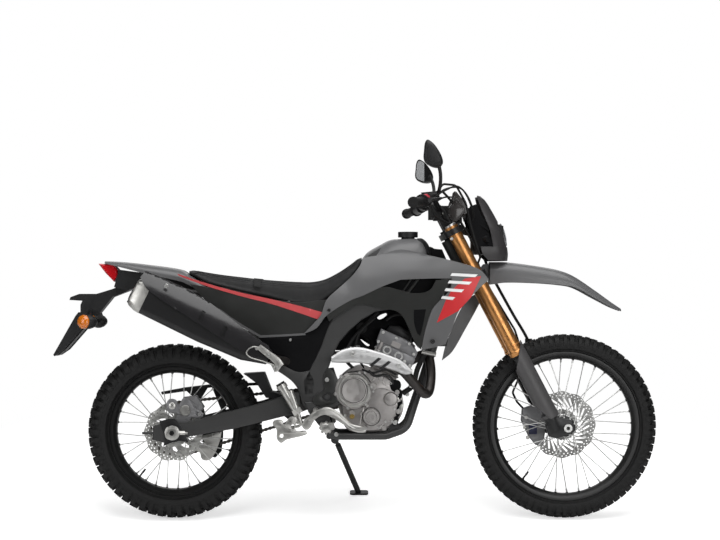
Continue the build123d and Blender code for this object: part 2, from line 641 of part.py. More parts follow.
HEAD_LOW, HEAD_HIGH = LOWER_CLAMP + LOWER_THICK + 5, UPPER_CLAMP - 5
PEG_PLATE = [(-240, 440), (-214, 440), (-150, 400), (-142, 352), (-150, 338), (-176, 340), (-226, 402)]
SPAR = [(110, 822), (-64, 822), (-105, 795), (-140, 745), (-158, 705), (-177, 650), (-199, 602),
        (-222, 558), (-245, 520), (-240, 440), (-225, 402), (-180, 402), (-113, 428), (-111, 480),
        (-137, 558), (-156, 556), (-136, 613), (-111, 661), (-74, 704), (-30, 742), (20, 772),
        (110, 786)]
CRADLE = [(182, 60, 478), (136, 105, 340), (60, 105, 313), (-150, 105, 313), (-185, 105, 425)]
SPINE_FOOT = STEER_FOOT + UP * (HEAD_LOW + 50) - AHEAD * 12
with BuildPart() as frame:
    add(bar(STEER_FOOT + UP * HEAD_LOW, STEER_FOOT + UP * HEAD_HIGH, 29))
    for side in (-1, 1):
        add(slab(SPAR, side * (PLATE_Y - PLATE_T), side * PLATE_Y, 3))
        add(bar(SPINE_FOOT + Vector(0, side * 16, 0), (96, side * 104, 800), 17))
        add(tube([(x, side * y, z) for x, y, z in CRADLE], [60, 60, 50], 13))
        add(bar((190, 0, 480), (180, side * 62, 474), 13))
        add(bar((-150, side * 98, 735), (-620, side * 82, 836), 11))
        add(bar((-620, side * 82, 836), (-800, side * 68, 874), 11))
        add(bar((-200, side * 102, 548), (-602, side * 84, 826), 9))
    add(bar(STEER_FOOT + UP * (HEAD_LOW + 65), (188, 0, 482), 17))
    add(bar((-148, -102, 650), (-148, 102, 650), 12))
    add(bar((-150, -105, 313), (-150, 105, 313), 11))
    add(bar((-780, -70, 870), (-780, 70, 870), 9))
    add(pin(PIVOT, -PLATE_Y - 6, PLATE_Y + 6, 9))
    add(bar(STEER_FOOT + UP * (HEAD_LOW - 10), STEER_FOOT + UP * (HEAD_HIGH + 10), STEM_R + RUN_GAP),
        mode=Mode.SUBTRACT)
    add(bar((60, -104, 812), (60, 104, 812), 13))
    add(bar((88, -104, 352), (88, 104, 352), 8))
    for side in (-1, 1):
        add(slab([(60, 313), (120, 320), (102, 362), (78, 364)], side * 94, side * 104))
        add(slab(PEG_PLATE, side * (PLATE_Y - 2), side * (PLATE_Y + 6), 2))
        add(bar((-300, side * 92, 770), (-300, side * 70, 812), 9))
        add(bar((-560, side * 84, 822), (-560, side * 66, 870), 9))
        inner = STAND_PIVOT + STAND_AXIS * (side * (STAND_HALF + 0.5))
        outer = inner + STAND_AXIS * (side * LUG_T)
        add(bar(inner, outer, LUG_R))
        with BuildSketch(Plane(origin=inner, x_dir=LUG_LINE, z_dir=STAND_AXIS * side)):
            Rectangle(LUG_LINE.length, 2 * LUG_R, align=(Align.MIN, Align.CENTER))
        extrude(amount=LUG_T)
    add(bar(STAND_PIVOT - STAND_AXIS * 13, STAND_PIVOT + STAND_AXIS * 13, STAND_PIN_R))
frame.part.label = "frame"

# ------------------------------------------------------------------ swingarm, chain, shock

ARM_REAR = (around(REAR_AXLE, [(-72, -26), (-72, 24), (-32, 36), (54, 40)]) +
            around(PIVOT, [(-247, -25), (-173, -1), (-98, 21), (-98, -61), (-137, -67), (-346, -119)]) +
            around(REAR_AXLE, [(62, -14), (-34, -36)]))
ARM_FRONT = around(PIVOT, [(-100, 19), (-17, 27), (20, 15), (20, -15), (-17, -27), (-100, -59)])
ARM_BRACE = around(PIVOT, [(-182, -65), (-148, -65), (-148, -7), (-182, -11)])
LINK_LUG = around(PIVOT, [(-180, -61), (-148, -61), (-106, -71), (-106, -97), (-134, -99)])
SHOCK_LOW, SHOCK_HIGH = PIVOT + Vector(-120, 0, -85), Vector(-148, 0, 650)
with BuildPart() as swingarm:
    for side in (-1, 1):
        add(slab(ARM_REAR, side * ARM_IN, side * ARM_Y, 3))
        add(slab(ARM_FRONT, side * 84, side * (PLATE_Y - PLATE_T - SEAT_GAP)))
        add(slab(LINK_LUG, side * 26, side * 34))
        add(bar(REAR_AXLE + Vector(-112, side * 99, -2), REAR_AXLE + Vector(-68, side * 99, -1), 5))
    add(slab(ARM_BRACE, -ARM_IN, ARM_IN))
    add(pin(PIVOT, -85, 85, 15))
    add(pin(SHOCK_LOW, -34, 34, 7))
    add(pin(PIVOT, -120, 120, 9 + SEAT_GAP), mode=Mode.SUBTRACT)
    add(pin(REAR_AXLE, -130, 130, AXLE_R + PRESS_GAP), mode=Mode.SUBTRACT)
swingarm.part.label = "swingarm"

with BuildPart() as shock:
    line = (SHOCK_HIGH - SHOCK_LOW).normalized()
    length = (SHOCK_HIGH - SHOCK_LOW).length
    add(bar(SHOCK_LOW, SHOCK_HIGH, 9))
    add(bar(SHOCK_LOW + line * 40, SHOCK_HIGH - line * 30, 20))
    for k in range(8):
        add(bar(SHOCK_LOW + line * (50 + 25 * k), SHOCK_LOW + line * (61 + 25 * k), 31))
    for centre in (SHOCK_LOW, SHOCK_HIGH):
        add(pin(centre, -14, 14, 17))
    add(pin(SHOCK_LOW, -30, 30, 7 + SEAT_GAP), mode=Mode.SUBTRACT)
    add(pin(SHOCK_HIGH, -30, 30, 12 + SEAT_GAP), mode=Mode.SUBTRACT)
shock.part.label = "shock"


def belt(extra):
    """Outline round both sprockets, at a distance from the pitch line."""
    with BuildSketch() as loop:
        with BuildLine() as wire:
            CenterArc((REAR_AXLE.X, REAR_AXLE.Z), REAR_SPROCKET_R + extra, 0, 360)
            CenterArc((OUTPUT.X, OUTPUT.Z), FRONT_SPROCKET_R + extra, 0, 360)
        make_hull(wire.edges())
    return loop.sketch


def link_loop(tall, low):
    """The chain's edge at one side of the pitch line, outer and inner links by turns."""
    wire = belt(0).faces()[0].outer_wire()
    pairs = int(wire.length / LINK / 2)
    middle = belt(0).center()
    points = []
    for k in range(pairs):
        for share, reach in ((0.04, tall), (0.48, tall), (0.54, low), (0.98, low)):
            along = wire % ((k + share) / pairs)
            spot = wire @ ((k + share) / pairs)
            out = Vector(along.Y, -along.X, 0)
            if out.dot(spot - middle) < 0:
                out = out * -1
            points.append((spot.X + out.X * reach, spot.Y + out.Y * reach))
    return points


with BuildPart() as chain:
    with BuildSketch(side_plane(CHAIN_Y + CHAIN_W / 2)):
        with BuildLine():
            Polyline(*link_loop(CHAIN_H / 2, CHAIN_H / 2 - 2), close=True)
        make_face()
        with BuildSketch(mode=Mode.SUBTRACT):
            with BuildLine():
                Polyline(*link_loop(-CHAIN_H / 2, 2 - CHAIN_H / 2), close=True)
            make_face()
    extrude(amount=CHAIN_W)
chain.part.label = "chain"

CHAIN_GUARD = around(REAR_AXLE, [(-62, 141), (28, 158), (128, 170), (298, 176), (338, 174), (338, 164),
                                 (298, 166), (128, 158), (28, 144), (-58, 131)])
HUGGER = around(PIVOT, [(-312, 82), (-247, 86), (-236, 86), (-208, 15), (-164, 1), (-164, -15),
                        (-228, -7), (-262, 46), (-298, 73)])
GUIDE = around(REAR_AXLE, [(92, -36), (92, 4), (172, 14), (172, -26), (166, -85), (142, -110),
                           (100, -98)])
with BuildPart() as chain_guard:
    add(slab(CHAIN_GUARD, 66, 92))
    add(slab(around(REAR_AXLE, [(128, 160), (168, 166), (188, 114), (180, 62), (168, 62)]), 89, 94))
    add(slab(around(REAR_AXLE, [(28, 148), (116, 160), (88, 114), (106, 50), (88, 50), (64, 114)]),
             89, 92))
    add(slab(HUGGER, -55, 55))
    add(slab(GUIDE, 90, 95, 1))
    add(slab(around(REAR_AXLE, [(98, 2), (166, 6), (162, -64), (104, -70)]), 56, CHAIN_Y - CHAIN_W / 2 - 1))
    add(slab(around(REAR_AXLE, [(94, 4), (170, 10), (166, -4), (98, -10)]), 56, 94))
    add(chain.part, mode=Mode.SUBTRACT)
    add(swingarm.part, mode=Mode.SUBTRACT)
chain_guard.part.label = "chain_guard"

REAR_CALIPER = around(REAR_AXLE, [(22, 76), (38, 130), (88, 136), (116, 94), (88, 54)])
CALIPER_STAY = around(REAR_AXLE, [(-20, 4), (22, 76), (78, 69), (26, -8)])
with BuildPart() as rear_caliper:
    add(slab(REAR_CALIPER, -87, -56, 3))
    add(bar(REAR_AXLE + Vector(64, -90, 98), REAR_AXLE + Vector(64, -80, 98), 17))
    add(slab(CALIPER_STAY, -87.7, -78))
    add(pin(REAR_AXLE, -87.7, -75, 24))
    add(pin(REAR_AXLE, REAR_DISC_Y - MOVE_GAP, REAR_DISC_Y + REAR_DISC_T + MOVE_GAP, REAR_DISC_R + 5),
        mode=Mode.SUBTRACT)
    add(pin(REAR_AXLE, -90, -50, AXLE_R + PRESS_GAP), mode=Mode.SUBTRACT)
rear_caliper.part.label = "rear_caliper"

# ------------------------------------------------------------------ engine

CASE = [(-121, 440), (-112, 405), (-92, 346), (-66, 328), (36, 328), (80, 350), (109, 376),
        (124, 420), (117, 467), (84, 526), (18, 556), (-37, 574), (-100, 540), (-121, 500)]
COVER = [(-104, 440), (-90, 360), (-60, 336), (40, 336), (96, 372), (116, 420), (108, 467),
         (70, 524), (-40, 560), (-100, 520)]
CLUTCH = Vector(-60, 0, 483)
with BuildPart() as crankcase:
    add(slab(CASE, -92, 58, 4))
    add(slab(COVER, -116, -92))
    add(slab(around(CRANK, [(-20, -70), (38, -70), (74, -44), (84, 0), (66, 48), (30, 62), (-20, 40)]),
             -126, -116, 4))
    for reach, depth in ((68, 132), (61, 139), (50, 147), (22, 150)):
        add(pin(CLUTCH, -depth, -100, reach))
    add(pin(Vector(5, 0, 387), -140, -110, 29))
    add(pin(Vector(5, 0, 387), -145, -110, 17))
    add(pin(Vector(-66, 0, 387), -136, -110, 11))
    add(pin(Vector(84, 0, 452), -140, -110, 26))
    add(pin(CRANK, 58, 96, 64))
    add(pin(CRANK, 96, 106, 50))
    add(pin(OUTPUT, 50, 84, 12))
    add(pin(OUTPUT, CHAIN_Y - 3.5, CHAIN_Y + 3.5, FRONT_SPROCKET_R - CHAIN_H / 2 - 1))
    add(frame.part, mode=Mode.SUBTRACT)
crankcase.part.label = "crankcase"

CYLINDER_LEAN = 24.0
LINE = Vector(sin(radians(CYLINDER_LEAN)), 0, cos(radians(CYLINDER_LEAN)))
FRONTWARD = Vector(cos(radians(CYLINDER_LEAN)), 0, -sin(radians(CYLINDER_LEAN)))
CYLINDER_FOOT = Vector(48, 0, 536)


def cylinder_plane(up):
    return Plane(origin=CYLINDER_FOOT + LINE * up, x_dir=FRONTWARD, z_dir=LINE)


# Engine top sections: start, height, length fore and aft, width
STACK = [(0, 62, 104, 112), (62, 8, 120, 140), (70, 66, 130, 148), (136, 8, 138, 154), (144, 34, 112, 134),
         (178, 12, 76, 112)]
with BuildPart() as cylinder:
    for start, height, along, across in STACK:
        with BuildSketch(cylinder_plane(start)):
            RectangleRounded(along, across, 12)
        extrude(amount=height)
    for up, ahead, radius in ((92, -22, 15), (96, 34, 15), (122, 6, 9)):
        knob = CYLINDER_FOOT + LINE * up + FRONTWARD * ahead
        add(pin(knob, -84, -60, radius))
    for up in (14, 28, 42):
        with BuildSketch(cylinder_plane(up)):
            RectangleRounded(112, 120, 12)
        extrude(amount=5)
    add(crankcase.part, mode=Mode.SUBTRACT)
    add(frame.part, mode=Mode.SUBTRACT)
cylinder.part.label = "cylinder"

PORT = CYLINDER_FOOT + LINE * 100
with BuildPart() as intake:
    add(slab([(-450, 620), (-450, 790), (-300, 800), (-300, 640), (-350, 610)], -76, 76))
    add(tube([(-302, 30, 750), (-170, 30, 752), (-60, 10, 712), PORT - FRONTWARD * 66.5],
             [60, 60], 22))
    add(bar((-52, 8, 708), (-8, 4, 690), 30))
    add(cylinder.part, mode=Mode.SUBTRACT)
    add(frame.part, mode=Mode.SUBTRACT)
    add(shock.part, mode=Mode.SUBTRACT)
intake.part.label = "intake"

HEADER = [PORT + FRONTWARD * 66.5 + Vector(0, -25, 0), (222, -46, 604), (221, -104, 470),
          (110, -150, 562), (10, -156, 594), (-70, -158, 612), (-250, -158, 604), (-366, -158, 600)]
with BuildPart() as exhaust_header:
    add(tube(HEADER, [34, 40, 80, 80, 120, 400], 18))
    add(frame.part, mode=Mode.SUBTRACT)
    add(cylinder.part, mode=Mode.SUBTRACT)
exhaust_header.part.label = "exhaust_header"

SHIELD = [(-142, 590), (-135, 615), (-110, 634), (-59, 648), (-1, 637), (101, 601), (145, 568),
          (152, 543), (126, 535), (54, 557), (-19, 583), (-73, 590)]
SHIELD_SLOTS = [[(24, 612), (34, 610), (4, 566), (-6, 570)], [(66, 598), (76, 594), (46, 552), (36, 556)]]
with BuildPart() as heat_shield:
    add(slab(SHIELD, -188, -182, 2))
    add(slab([(-135, 615), (-110, 634), (-59, 648), (-1, 637), (101, 601), (145, 568), (141, 562),
              (98, 594), (-3, 630), (-58, 640), (-106, 627), (-129, 611)], -184, -152))
    for slot in SHIELD_SLOTS:
        add(slab(slot, -200, -150), mode=Mode.SUBTRACT)
    for x, z in ((-50, 620), (96, 576)):
        add(bar((x, -183, z), (x, -172, z), 8))
        add(bar((x, -192, z), (x, -186, z), 8))
    add(exhaust_header.part, mode=Mode.SUBTRACT)
heat_shield.part.label = "heat_shield"

MUFFLER_FRONT, MUFFLER_BACK = Vector(-368, -158, 604), Vector(-846, -158, 838)
MUFFLER_LINE = (MUFFLER_BACK - MUFFLER_FRONT).normalized()
MUFFLER_STEPS = [(0, 50, 54), (90, 84, 104), (260, 92, 124), (500, 92, 124)]
MUFFLER_COVER = [(-829, 895), (-818, 921), (-764, 899), (-691, 866), (-618, 830), (-546, 779), (-473, 721),
                 (-419, 677), (-371, 652), (-360, 622), (-400, 612), (-470, 640), (-560, 700),
                 (-660, 768), (-760, 830)]
COVER_SLOTS = [[(-600 + k * 72, 770 - k * 50), (-588 + k * 72, 762 - k * 50), (-604 + k * 72, 724 - k * 50),
                (-616 + k * 72, 732 - k * 50)] for k in range(3)]


def muffler_plane(along):
    """Square to the muffler's run: local x left, at a distance from its front end."""
    return Plane(origin=MUFFLER_FRONT + MUFFLER_LINE * along, x_dir=(0, 1, 0), z_dir=MUFFLER_LINE)


with BuildPart() as muffler:
    for along, wide, tall in MUFFLER_STEPS:
        with BuildSketch(muffler_plane(along)):
            RectangleRounded(wide, tall, 22)
    loft(ruled=True)
    with BuildSketch(muffler_plane(500)):
        RectangleRounded(88, 120, 22)
    extrude(amount=18)
    with BuildSketch(muffler_plane(518)):
        RectangleRounded(76, 104, 20)
    extrude(amount=10)
    with BuildSketch(muffler_plane(480)):
        with Locations((0, -16)):
            Circle(19)
    extrude(amount=80, mode=Mode.SUBTRACT)
    add(slab(MUFFLER_COVER, -211, -190, 4))
    for slot in COVER_SLOTS:
        add(slab(slot, -215, -206), mode=Mode.SUBTRACT)
    for x, z in ((-700, 842), (-420, 650)):
        add(bar((x, -190, z), (x, -96, z + 6), 9))
    add(exhaust_header.part, mode=Mode.SUBTRACT)
    add(frame.part, mode=Mode.SUBTRACT)
muffler.part.label = "muffler"

# ------------------------------------------------------------------ tank, seat and panels

TANK_SIDE = [(-24, 962), (-36, 930), (-64, 885), (-92, 850), (-92, 824), (95, 824), (212, 905),
             (212, 1000), (204, 1028), (184, 1040), (113, 1042), (75, 1040), (38, 1021), (-7, 993)]
TANK_FRONT = [(0, 1060), (38, 1044), (70, 1010), (100, 955), (108, 900), (86, 862), (86, 810),
              (-86, 810), (-86, 862), (-108, 900), (-100, 955), (-70, 1010), (-38, 1044)]
TANK_PLAN = [(-92, 56), (0, 92), (100, 108), (180, 100), (212, 44)]
CAP = Vector(143, 0, 1049)
CAP_R, NECK_R = 37.0, 30.0
with BuildPart() as fuel_tank:
    add(slab(TANK_SIDE, -130, 130))
    with BuildSketch(cross_plane(-200)):
        with BuildLine():
            Polyline(*TANK_FRONT, close=True)
        make_face()
    extrude(amount=600, mode=Mode.INTERSECT)
    with BuildSketch(Plane.XY.offset(700)):
        with BuildLine():
            Polyline(*TANK_PLAN, *[(x, -y) for x, y in reversed(TANK_PLAN)], close=True)
        make_face()
    extrude(amount=500, mode=Mode.INTERSECT)
    add(bar((CAP.X, 0, 1000), CAP, NECK_R + 5))
    add(bar((CAP.X, 0, 980), (CAP.X, 0, 1100), NECK_R), mode=Mode.SUBTRACT)
    add(frame.part, mode=Mode.SUBTRACT)
fuel_tank.part.label = "fuel_tank"

with BuildPart() as fuel_cap:
    with BuildSketch(Plane.XY.offset(CAP.Z + 0.5)):
        with Locations((CAP.X, 0)):
            Circle(CAP_R)
    extrude(amount=20)
    with BuildSketch(Plane.XY.offset(CAP.Z - 18)):
        with Locations((CAP.X, 0)):
            Circle(NECK_R - 5)
    extrude(amount=20)
fuel_cap.part.label = "fuel_cap"

with BuildPart() as radiator:
    add(slab([(262, 640), (292, 640), (318, 820), (288, 820)], 56, 144))
    for z in (660, 800):
        add(bar((230, 20, z), (270 + (z - 640) * 0.13, 60, z), 8))
    add(frame.part, mode=Mode.SUBTRACT)
radiator.part.label = "radiator"

SHROUD_SIDE = [(-26, 972), (29, 979), (109, 1001), (218, 979), (255, 968), (327, 950), (400, 925),
               (433, 888), (392, 852), (326, 779), (297, 706), (275, 652), (185, 630), (160, 669),
               (127, 742), (101, 775), (36, 786), (-44, 801), (-74, 812), (-183, 750), (-245, 695),
               (-262, 730), (-245, 765), (-203, 784), (-166, 812), (-111, 853), (-67, 894),
               (-37, 938)]
SHROUD_VENT = [(60, 866), (112, 886), (222, 888), (182, 850), (109, 854)]
SHROUD_HOLE = [(164, 779), (193, 775), (182, 690)]
# Shroud sections: x, then outer (y, z) from the top down
SHROUD = [(-262, [(98, 1010), (112, 900), (122, 810), (127, 760), (125, 600)]),
          (-100, [(70, 1010), (100, 900), (124, 830), (130, 780), (128, 600)]),
          (-30, [(66, 1010), (104, 940), (128, 880), (134, 790), (128, 600)]),
          (110, [(90, 1010), (136, 960), (158, 890), (152, 780), (140, 600)]),
          (225, [(100, 1010), (152, 965), (176, 890), (168, 780), (156, 600)]),
          (330, [(152, 1010), (166, 960), (184, 890), (180, 780), (166, 600)]),
          (440, [(152, 1010), (162, 960), (180, 890), (180, 780), (168, 600)])]
# The raised panel over the shroud's front half
SHROUD_PANEL = [(425, 884), (392, 852), (326, 779), (297, 706), (275, 652), (192, 632), (198, 688),
                (225, 779), (254, 815), (280, 852), (262, 893), (300, 918), (396, 918)]
with BuildPart() as tank_shrouds:
    left_shroud = blade(SHROUD, 6.0) & slab(SHROUD_SIDE, 0, 260)
    left_shroud = left_shroud + (blade(SHROUD, 5.0, -3.5) & slab(SHROUD_PANEL, 0, 260))
    left_shroud = left_shroud - slab(SHROUD_VENT, 0, 260) - slab(SHROUD_HOLE, 0, 260)
    add(both_sides(left_shroud))
    for side in (-1, 1):
        add(bar((250, side * 110, 700), (262, side * 172, 704), 8))
        add(bar((292, side * 130, 846), (300, side * 186, 850), 8))
    add(fuel_tank.part, mode=Mode.SUBTRACT)
    add(radiator.part, mode=Mode.SUBTRACT)
tank_shrouds.part.label = "tank_shrouds"

SEAT_SIDE = [(-675, 926), (-629, 919), (-555, 906), (-481, 897), (-429, 891), (-370, 886),
             (-296, 880), (-222, 878), (-185, 884), (-148, 897), (-111, 919), (-74, 945), (-30, 976),
             (-28, 960), (-40, 930), (-70, 885), (-111, 852), (-166, 812), (-203, 788), (-259, 795),
             (-370, 821), (-481, 843), (-608, 874), (-629, 894), (-665, 911)]
SEAT_PLAN = [(-680, 50), (-620, 80), (-450, 92), (-300, 84), (-150, 66), (-20, 52)]
with BuildPart() as seat:
    add(slab(SEAT_SIDE, -95, 95))
    with BuildSketch(Plane.XY.offset(700)):
        with BuildLine():
            Polyline(*SEAT_PLAN, *[(x, -y) for x, y in reversed(SEAT_PLAN)], close=True)
        make_face()
    extrude(amount=400, mode=Mode.INTERSECT)
    add(frame.part, mode=Mode.SUBTRACT)
seat.part.label = "seat"

COVER_SIDE = [(-663, 874), (-607, 834), (-497, 753), (-398, 692), (-331, 690), (-262, 700),
              (-272, 745), (-262, 766), (-368, 806), (-479, 834), (-607, 864)]
with BuildPart() as side_covers:
    for side in (-1, 1):
        low, high = sorted((side * 113, side * 118))
        add(slab(COVER_SIDE, low, high))
        add(bar((-300, side * 95, 767), (-300, side * 114, 767), 7))
        add(bar((-560, side * 86, 823), (-560, side * 114, 823), 7))
    add(frame.part, mode=Mode.SUBTRACT)
side_covers.part.label = "side_covers"

# Tail sections: x, half width, crown z, skirt z
TAIL = [(-612, 90, 868, 846), (-632, 90, 889, 852), (-668, 90, 908, 870), (-701, 88, 927, 884),
        (-812, 80, 944, 908), (-923, 66, 956, 936), (-985, 48, 959, 951)]
with BuildPart() as tail_cover:
    add(ruled([(x, arch(w, top, edge, 4.0)) for x, w, top, edge in TAIL]))
    add(frame.part, mode=Mode.SUBTRACT)
tail_cover.part.label = "tail_cover"

UNDER_TAIL = [(-932, 928), (-938, 905), (-950, 863), (-903, 849), (-813, 880), (-700, 866),
              (-600, 828), (-600, 846), (-700, 886), (-775, 900), (-830, 914)]
PLATE_ARM = [(-1119, 815), (-1115, 826), (-1082, 838), (-1018, 838), (-959, 856), (-903, 879),
             (-899, 849), (-959, 826), (-1007, 767), (-1003, 756), (-1078, 759), (-1078, 797),
             (-1071, 812)]
PLATE_TOP, PLATE_TIP = (-1089, 756), (-1171, 612)       # rear face of the plate holder
PLATE_T, PLATE_HALF = 8.0, 82.0
PLATE_LINE = Vector(PLATE_TIP[0] - PLATE_TOP[0], 0, PLATE_TIP[1] - PLATE_TOP[1]).normalized()
PLATE_NORMAL = Vector(PLATE_LINE.Z, 0, -PLATE_LINE.X)
PLATE_HOLE = Vector(PLATE_TOP[0], 0, PLATE_TOP[1]) + PLATE_LINE * 64
PLATE_HOLE_R, PLATE_HOLE_Y = 3.5, 55.0
FLAP = [PLATE_TOP, (-1078, 770), (-1050, 770), (-1058, 716), (-1134, 629), (-1166, 607), PLATE_TIP]
with BuildPart() as rear_fender:
    add(slab(UNDER_TAIL, -56, 56))
    add(slab(PLATE_ARM, -34, 34))
    add(slab([PLATE_TOP, PLATE_TIP, (PLATE_TIP[0] - PLATE_T * PLATE_NORMAL.X,
                                     PLATE_TIP[1] - PLATE_T * PLATE_NORMAL.Z),
              (PLATE_TOP[0] - PLATE_T * PLATE_NORMAL.X, PLATE_TOP[1] - PLATE_T * PLATE_NORMAL.Z)],
             -PLATE_HALF, PLATE_HALF))
    for side in (-1, 1):
        low, high = sorted((side * (PLATE_HALF - 4), side * PLATE_HALF))
        add(slab(FLAP, low, high))
    add(slab(FLAP, -30, 30))
    add(slab([(-860, 895), (-820, 895), (-820, 944), (-860, 948)], -30, 30))
    add(frame.part, mode=Mode.SUBTRACT)
    add(tail_cover.part, mode=Mode.SUBTRACT)
    for side in (-1, 1):
        hole = PLATE_HOLE + Vector(0, side * PLATE_HOLE_Y, 0)
        add(bar(hole - PLATE_NORMAL * 30, hole + PLATE_NORMAL * 30, PLATE_HOLE_R), mode=Mode.SUBTRACT)
rear_fender.part.label = "rear_fender"

LIGHT_SIDE = [(-1010, 950), (-958, 949), (-939.7, 930), (-938.7, 904), (-951, 882), (-984, 916)]
with BuildPart() as tail_light:
    add(slab(LIGHT_SIDE, -44, 44, 4))
    add(tail_cover.part, mode=Mode.SUBTRACT)
    add(rear_fender.part, mode=Mode.SUBTRACT)
tail_light.part.label = "tail_light"

SIGNAL_SPOT = Vector(-1038, 132, 735)
# Signal pod, turned about the line along the machine: x from its middle, radius
SIGNAL_POD = [(-27, 0), (-23, 16), (-8, 26), (10, 26), (26, 20), (44, 10), (46, 0)]
with BuildPart() as rear_signals:
    for side in (-1, 1):
        spot = Vector(SIGNAL_SPOT.X, side * SIGNAL_SPOT.Y, SIGNAL_SPOT.Z)
        add(bar((-1040, side * 34, 772), spot, 8))
        with BuildSketch(Plane(origin=spot, x_dir=(1, 0, 0), z_dir=(0, -1, 0))):
            with BuildLine():
                Polyline(*SIGNAL_POD, close=True)
            make_face()
        revolve(axis=Axis(spot, (1, 0, 0)))
    add(rear_fender.part, mode=Mode.SUBTRACT)
rear_signals.part.label = "rear_signals"

# ------------------------------------------------------------------ foot controls

PEG = [(-186, 350), (-180, 362), (-134, 362), (-128, 350), (-134, 344), (-180, 344)]
PILLION = [(-456, 622), (-402, 652), (-384, 640), (-318, 592), (-338, 552), (-352, 552), (-392, 624)]
MASTER = [(-268, 360), (-244, 364), (-262, 412), (-284, 460), (-318, 512), (-332, 504), (-300, 450),
          (-284, 404)]
with BuildPart() as foot_controls:
    for side in (-1, 1):
        add(slab(PEG, side * 136, side * 214))
        for k in range(4):
            add(slab([(-184, 360), (-180, 368), (-134, 368), (-130, 360)], side * (140 + 20 * k),
                     side * (148 + 20 * k)))
        add(bar((-157, side * 120, 352), (-157, side * 140, 353), 9))
        add(slab(PILLION, side * 96, side * 104, 2))
        for tip, rail in (((-420, 640), (-400, 686)), ((-334, 590), (-318, 630))):
            add(bar((tip[0], side * 99, tip[1]), (rail[0], side * 94, rail[1]), 6))
    add(tube([(-236, -140, 372), (-200, -148, 404), (-154, -160, 421), (-110, -166, 395),
              (-70, -166, 356), (-30, -166, 348)], [30, 40, 50, 40], 7))
    add(bar((-200, -124, 412), (-200, -150, 408), 9))
    add(slab([(-52, 342), (-14, 342), (-14, 352), (-52, 352)], -182, -150))
    add(slab(MASTER, -142, -118, 3))
    add(tube([(-300, -134, 346), (-262, -134, 352), (-236, -140, 372)], [12], 5))
    add(bar((-70, 56, 374), (-70, 124, 374), 7))
    add(tube([(-70, 118, 374), (-66, 140, 370), (70, 148, 356)], [12], 6))
    add(bar((62, 136, 356), (62, 176, 356), 8))
    add(frame.part, mode=Mode.SUBTRACT)
    add(crankcase.part, mode=Mode.SUBTRACT)
    add(muffler.part, mode=Mode.SUBTRACT)
foot_controls.part.label = "foot_controls"

with BuildPart() as skid_plate:
    add(slab([(-120, 300), (40, 300), (44, 304), (-120, 304)], -98, 98))
    add(frame.part, mode=Mode.SUBTRACT)
skid_plate.part.label = "skid_plate"

with BuildPart() as side_stand:
    length = (STAND_TIP - STAND_PIVOT).length
    add(bar(STAND_PIVOT - STAND_AXIS * STAND_HALF, STAND_PIVOT + STAND_AXIS * STAND_HALF, LUG_R))
    add(bar(STAND_PIVOT + STAND_LINE * 8, STAND_PIVOT + STAND_LINE * (length - 6), 7))
    add(bar(STAND_PIVOT + STAND_LINE * 30, STAND_PIVOT + STAND_LINE * (length - 8), 11))
    with BuildSketch(Plane(origin=STAND_TIP, x_dir=(1, 0, 0),
                           z_dir=(0, -sin(radians(LEAN)), cos(radians(LEAN))))):
        RectangleRounded(72, 46, 14)
    extrude(amount=7)
    add(bar(STAND_PIVOT - STAND_AXIS * 20, STAND_PIVOT + STAND_AXIS * 20, STAND_PIN_R + RUN_GAP),
        mode=Mode.SUBTRACT)
    with BuildSketch(Plane(origin=STAND_TIP, x_dir=(1, 0, 0),
                           z_dir=(0, sin(radians(LEAN)), -cos(radians(LEAN))))):
        Rectangle(400, 400)
    extrude(amount=60, mode=Mode.SUBTRACT)
side_stand.part.label = "side_stand"

# ------------------------------------------------------------------ park and export

PIECES = [frame, crankcase, cylinder, intake, exhaust_header, heat_shield, muffler, fuel_tank,
          tank_shrouds, radiator, seat, side_covers, tail_cover, rear_fender, tail_light,
          rear_signals, swingarm, rear_axle, shock, chain, chain_guard, rear_caliper,
          foot_controls, skid_plate, triple_clamps, fork_tubes, fork_legs, fork_guards,
          front_axle, front_fender, headlight_cowl, headlight, meter, handlebar, grips, controls,
          mirrors, front_signals, front_caliper, brake_hose, front_tyre, front_rim, front_disc,
          rear_tyre, rear_rim, rear_disc, rear_sprocket, side_stand, fuel_cap]
LEANED = Location((0, 0, 0), (-LEAN, 0, 0))
leaned = [(piece.part.label, piece.part.moved(LEANED)) for piece in PIECES]
boxes = [shape.bounding_box() for _, shape in leaned]
low = [min(getattr(box.min, axis) for box in boxes) for axis in "XYZ"]
high = [max(getattr(box.max, axis) for box in boxes) for axis in "XYZ"]
shift = Location((-(low[0] + high[0]) / 2, -(low[1] + high[1]) / 2, -low[2]))
for label, shape in leaned:
    standing = shape.moved(shift)
    standing.label = label
    export_step(standing, f"parts/{label}.step")


def parked(point, free=1):
    """A point (free=1) or a direction (free=0) of the upright machine, once parked, in metres."""
    turned = (LEANED * Location(Vector(point))).position
    moved = turned + shift.position if free else turned
    scale = 1000 if free else 1
    return [round(v / scale, 7) for v in (moved.X, moved.Y, moved.Z)]


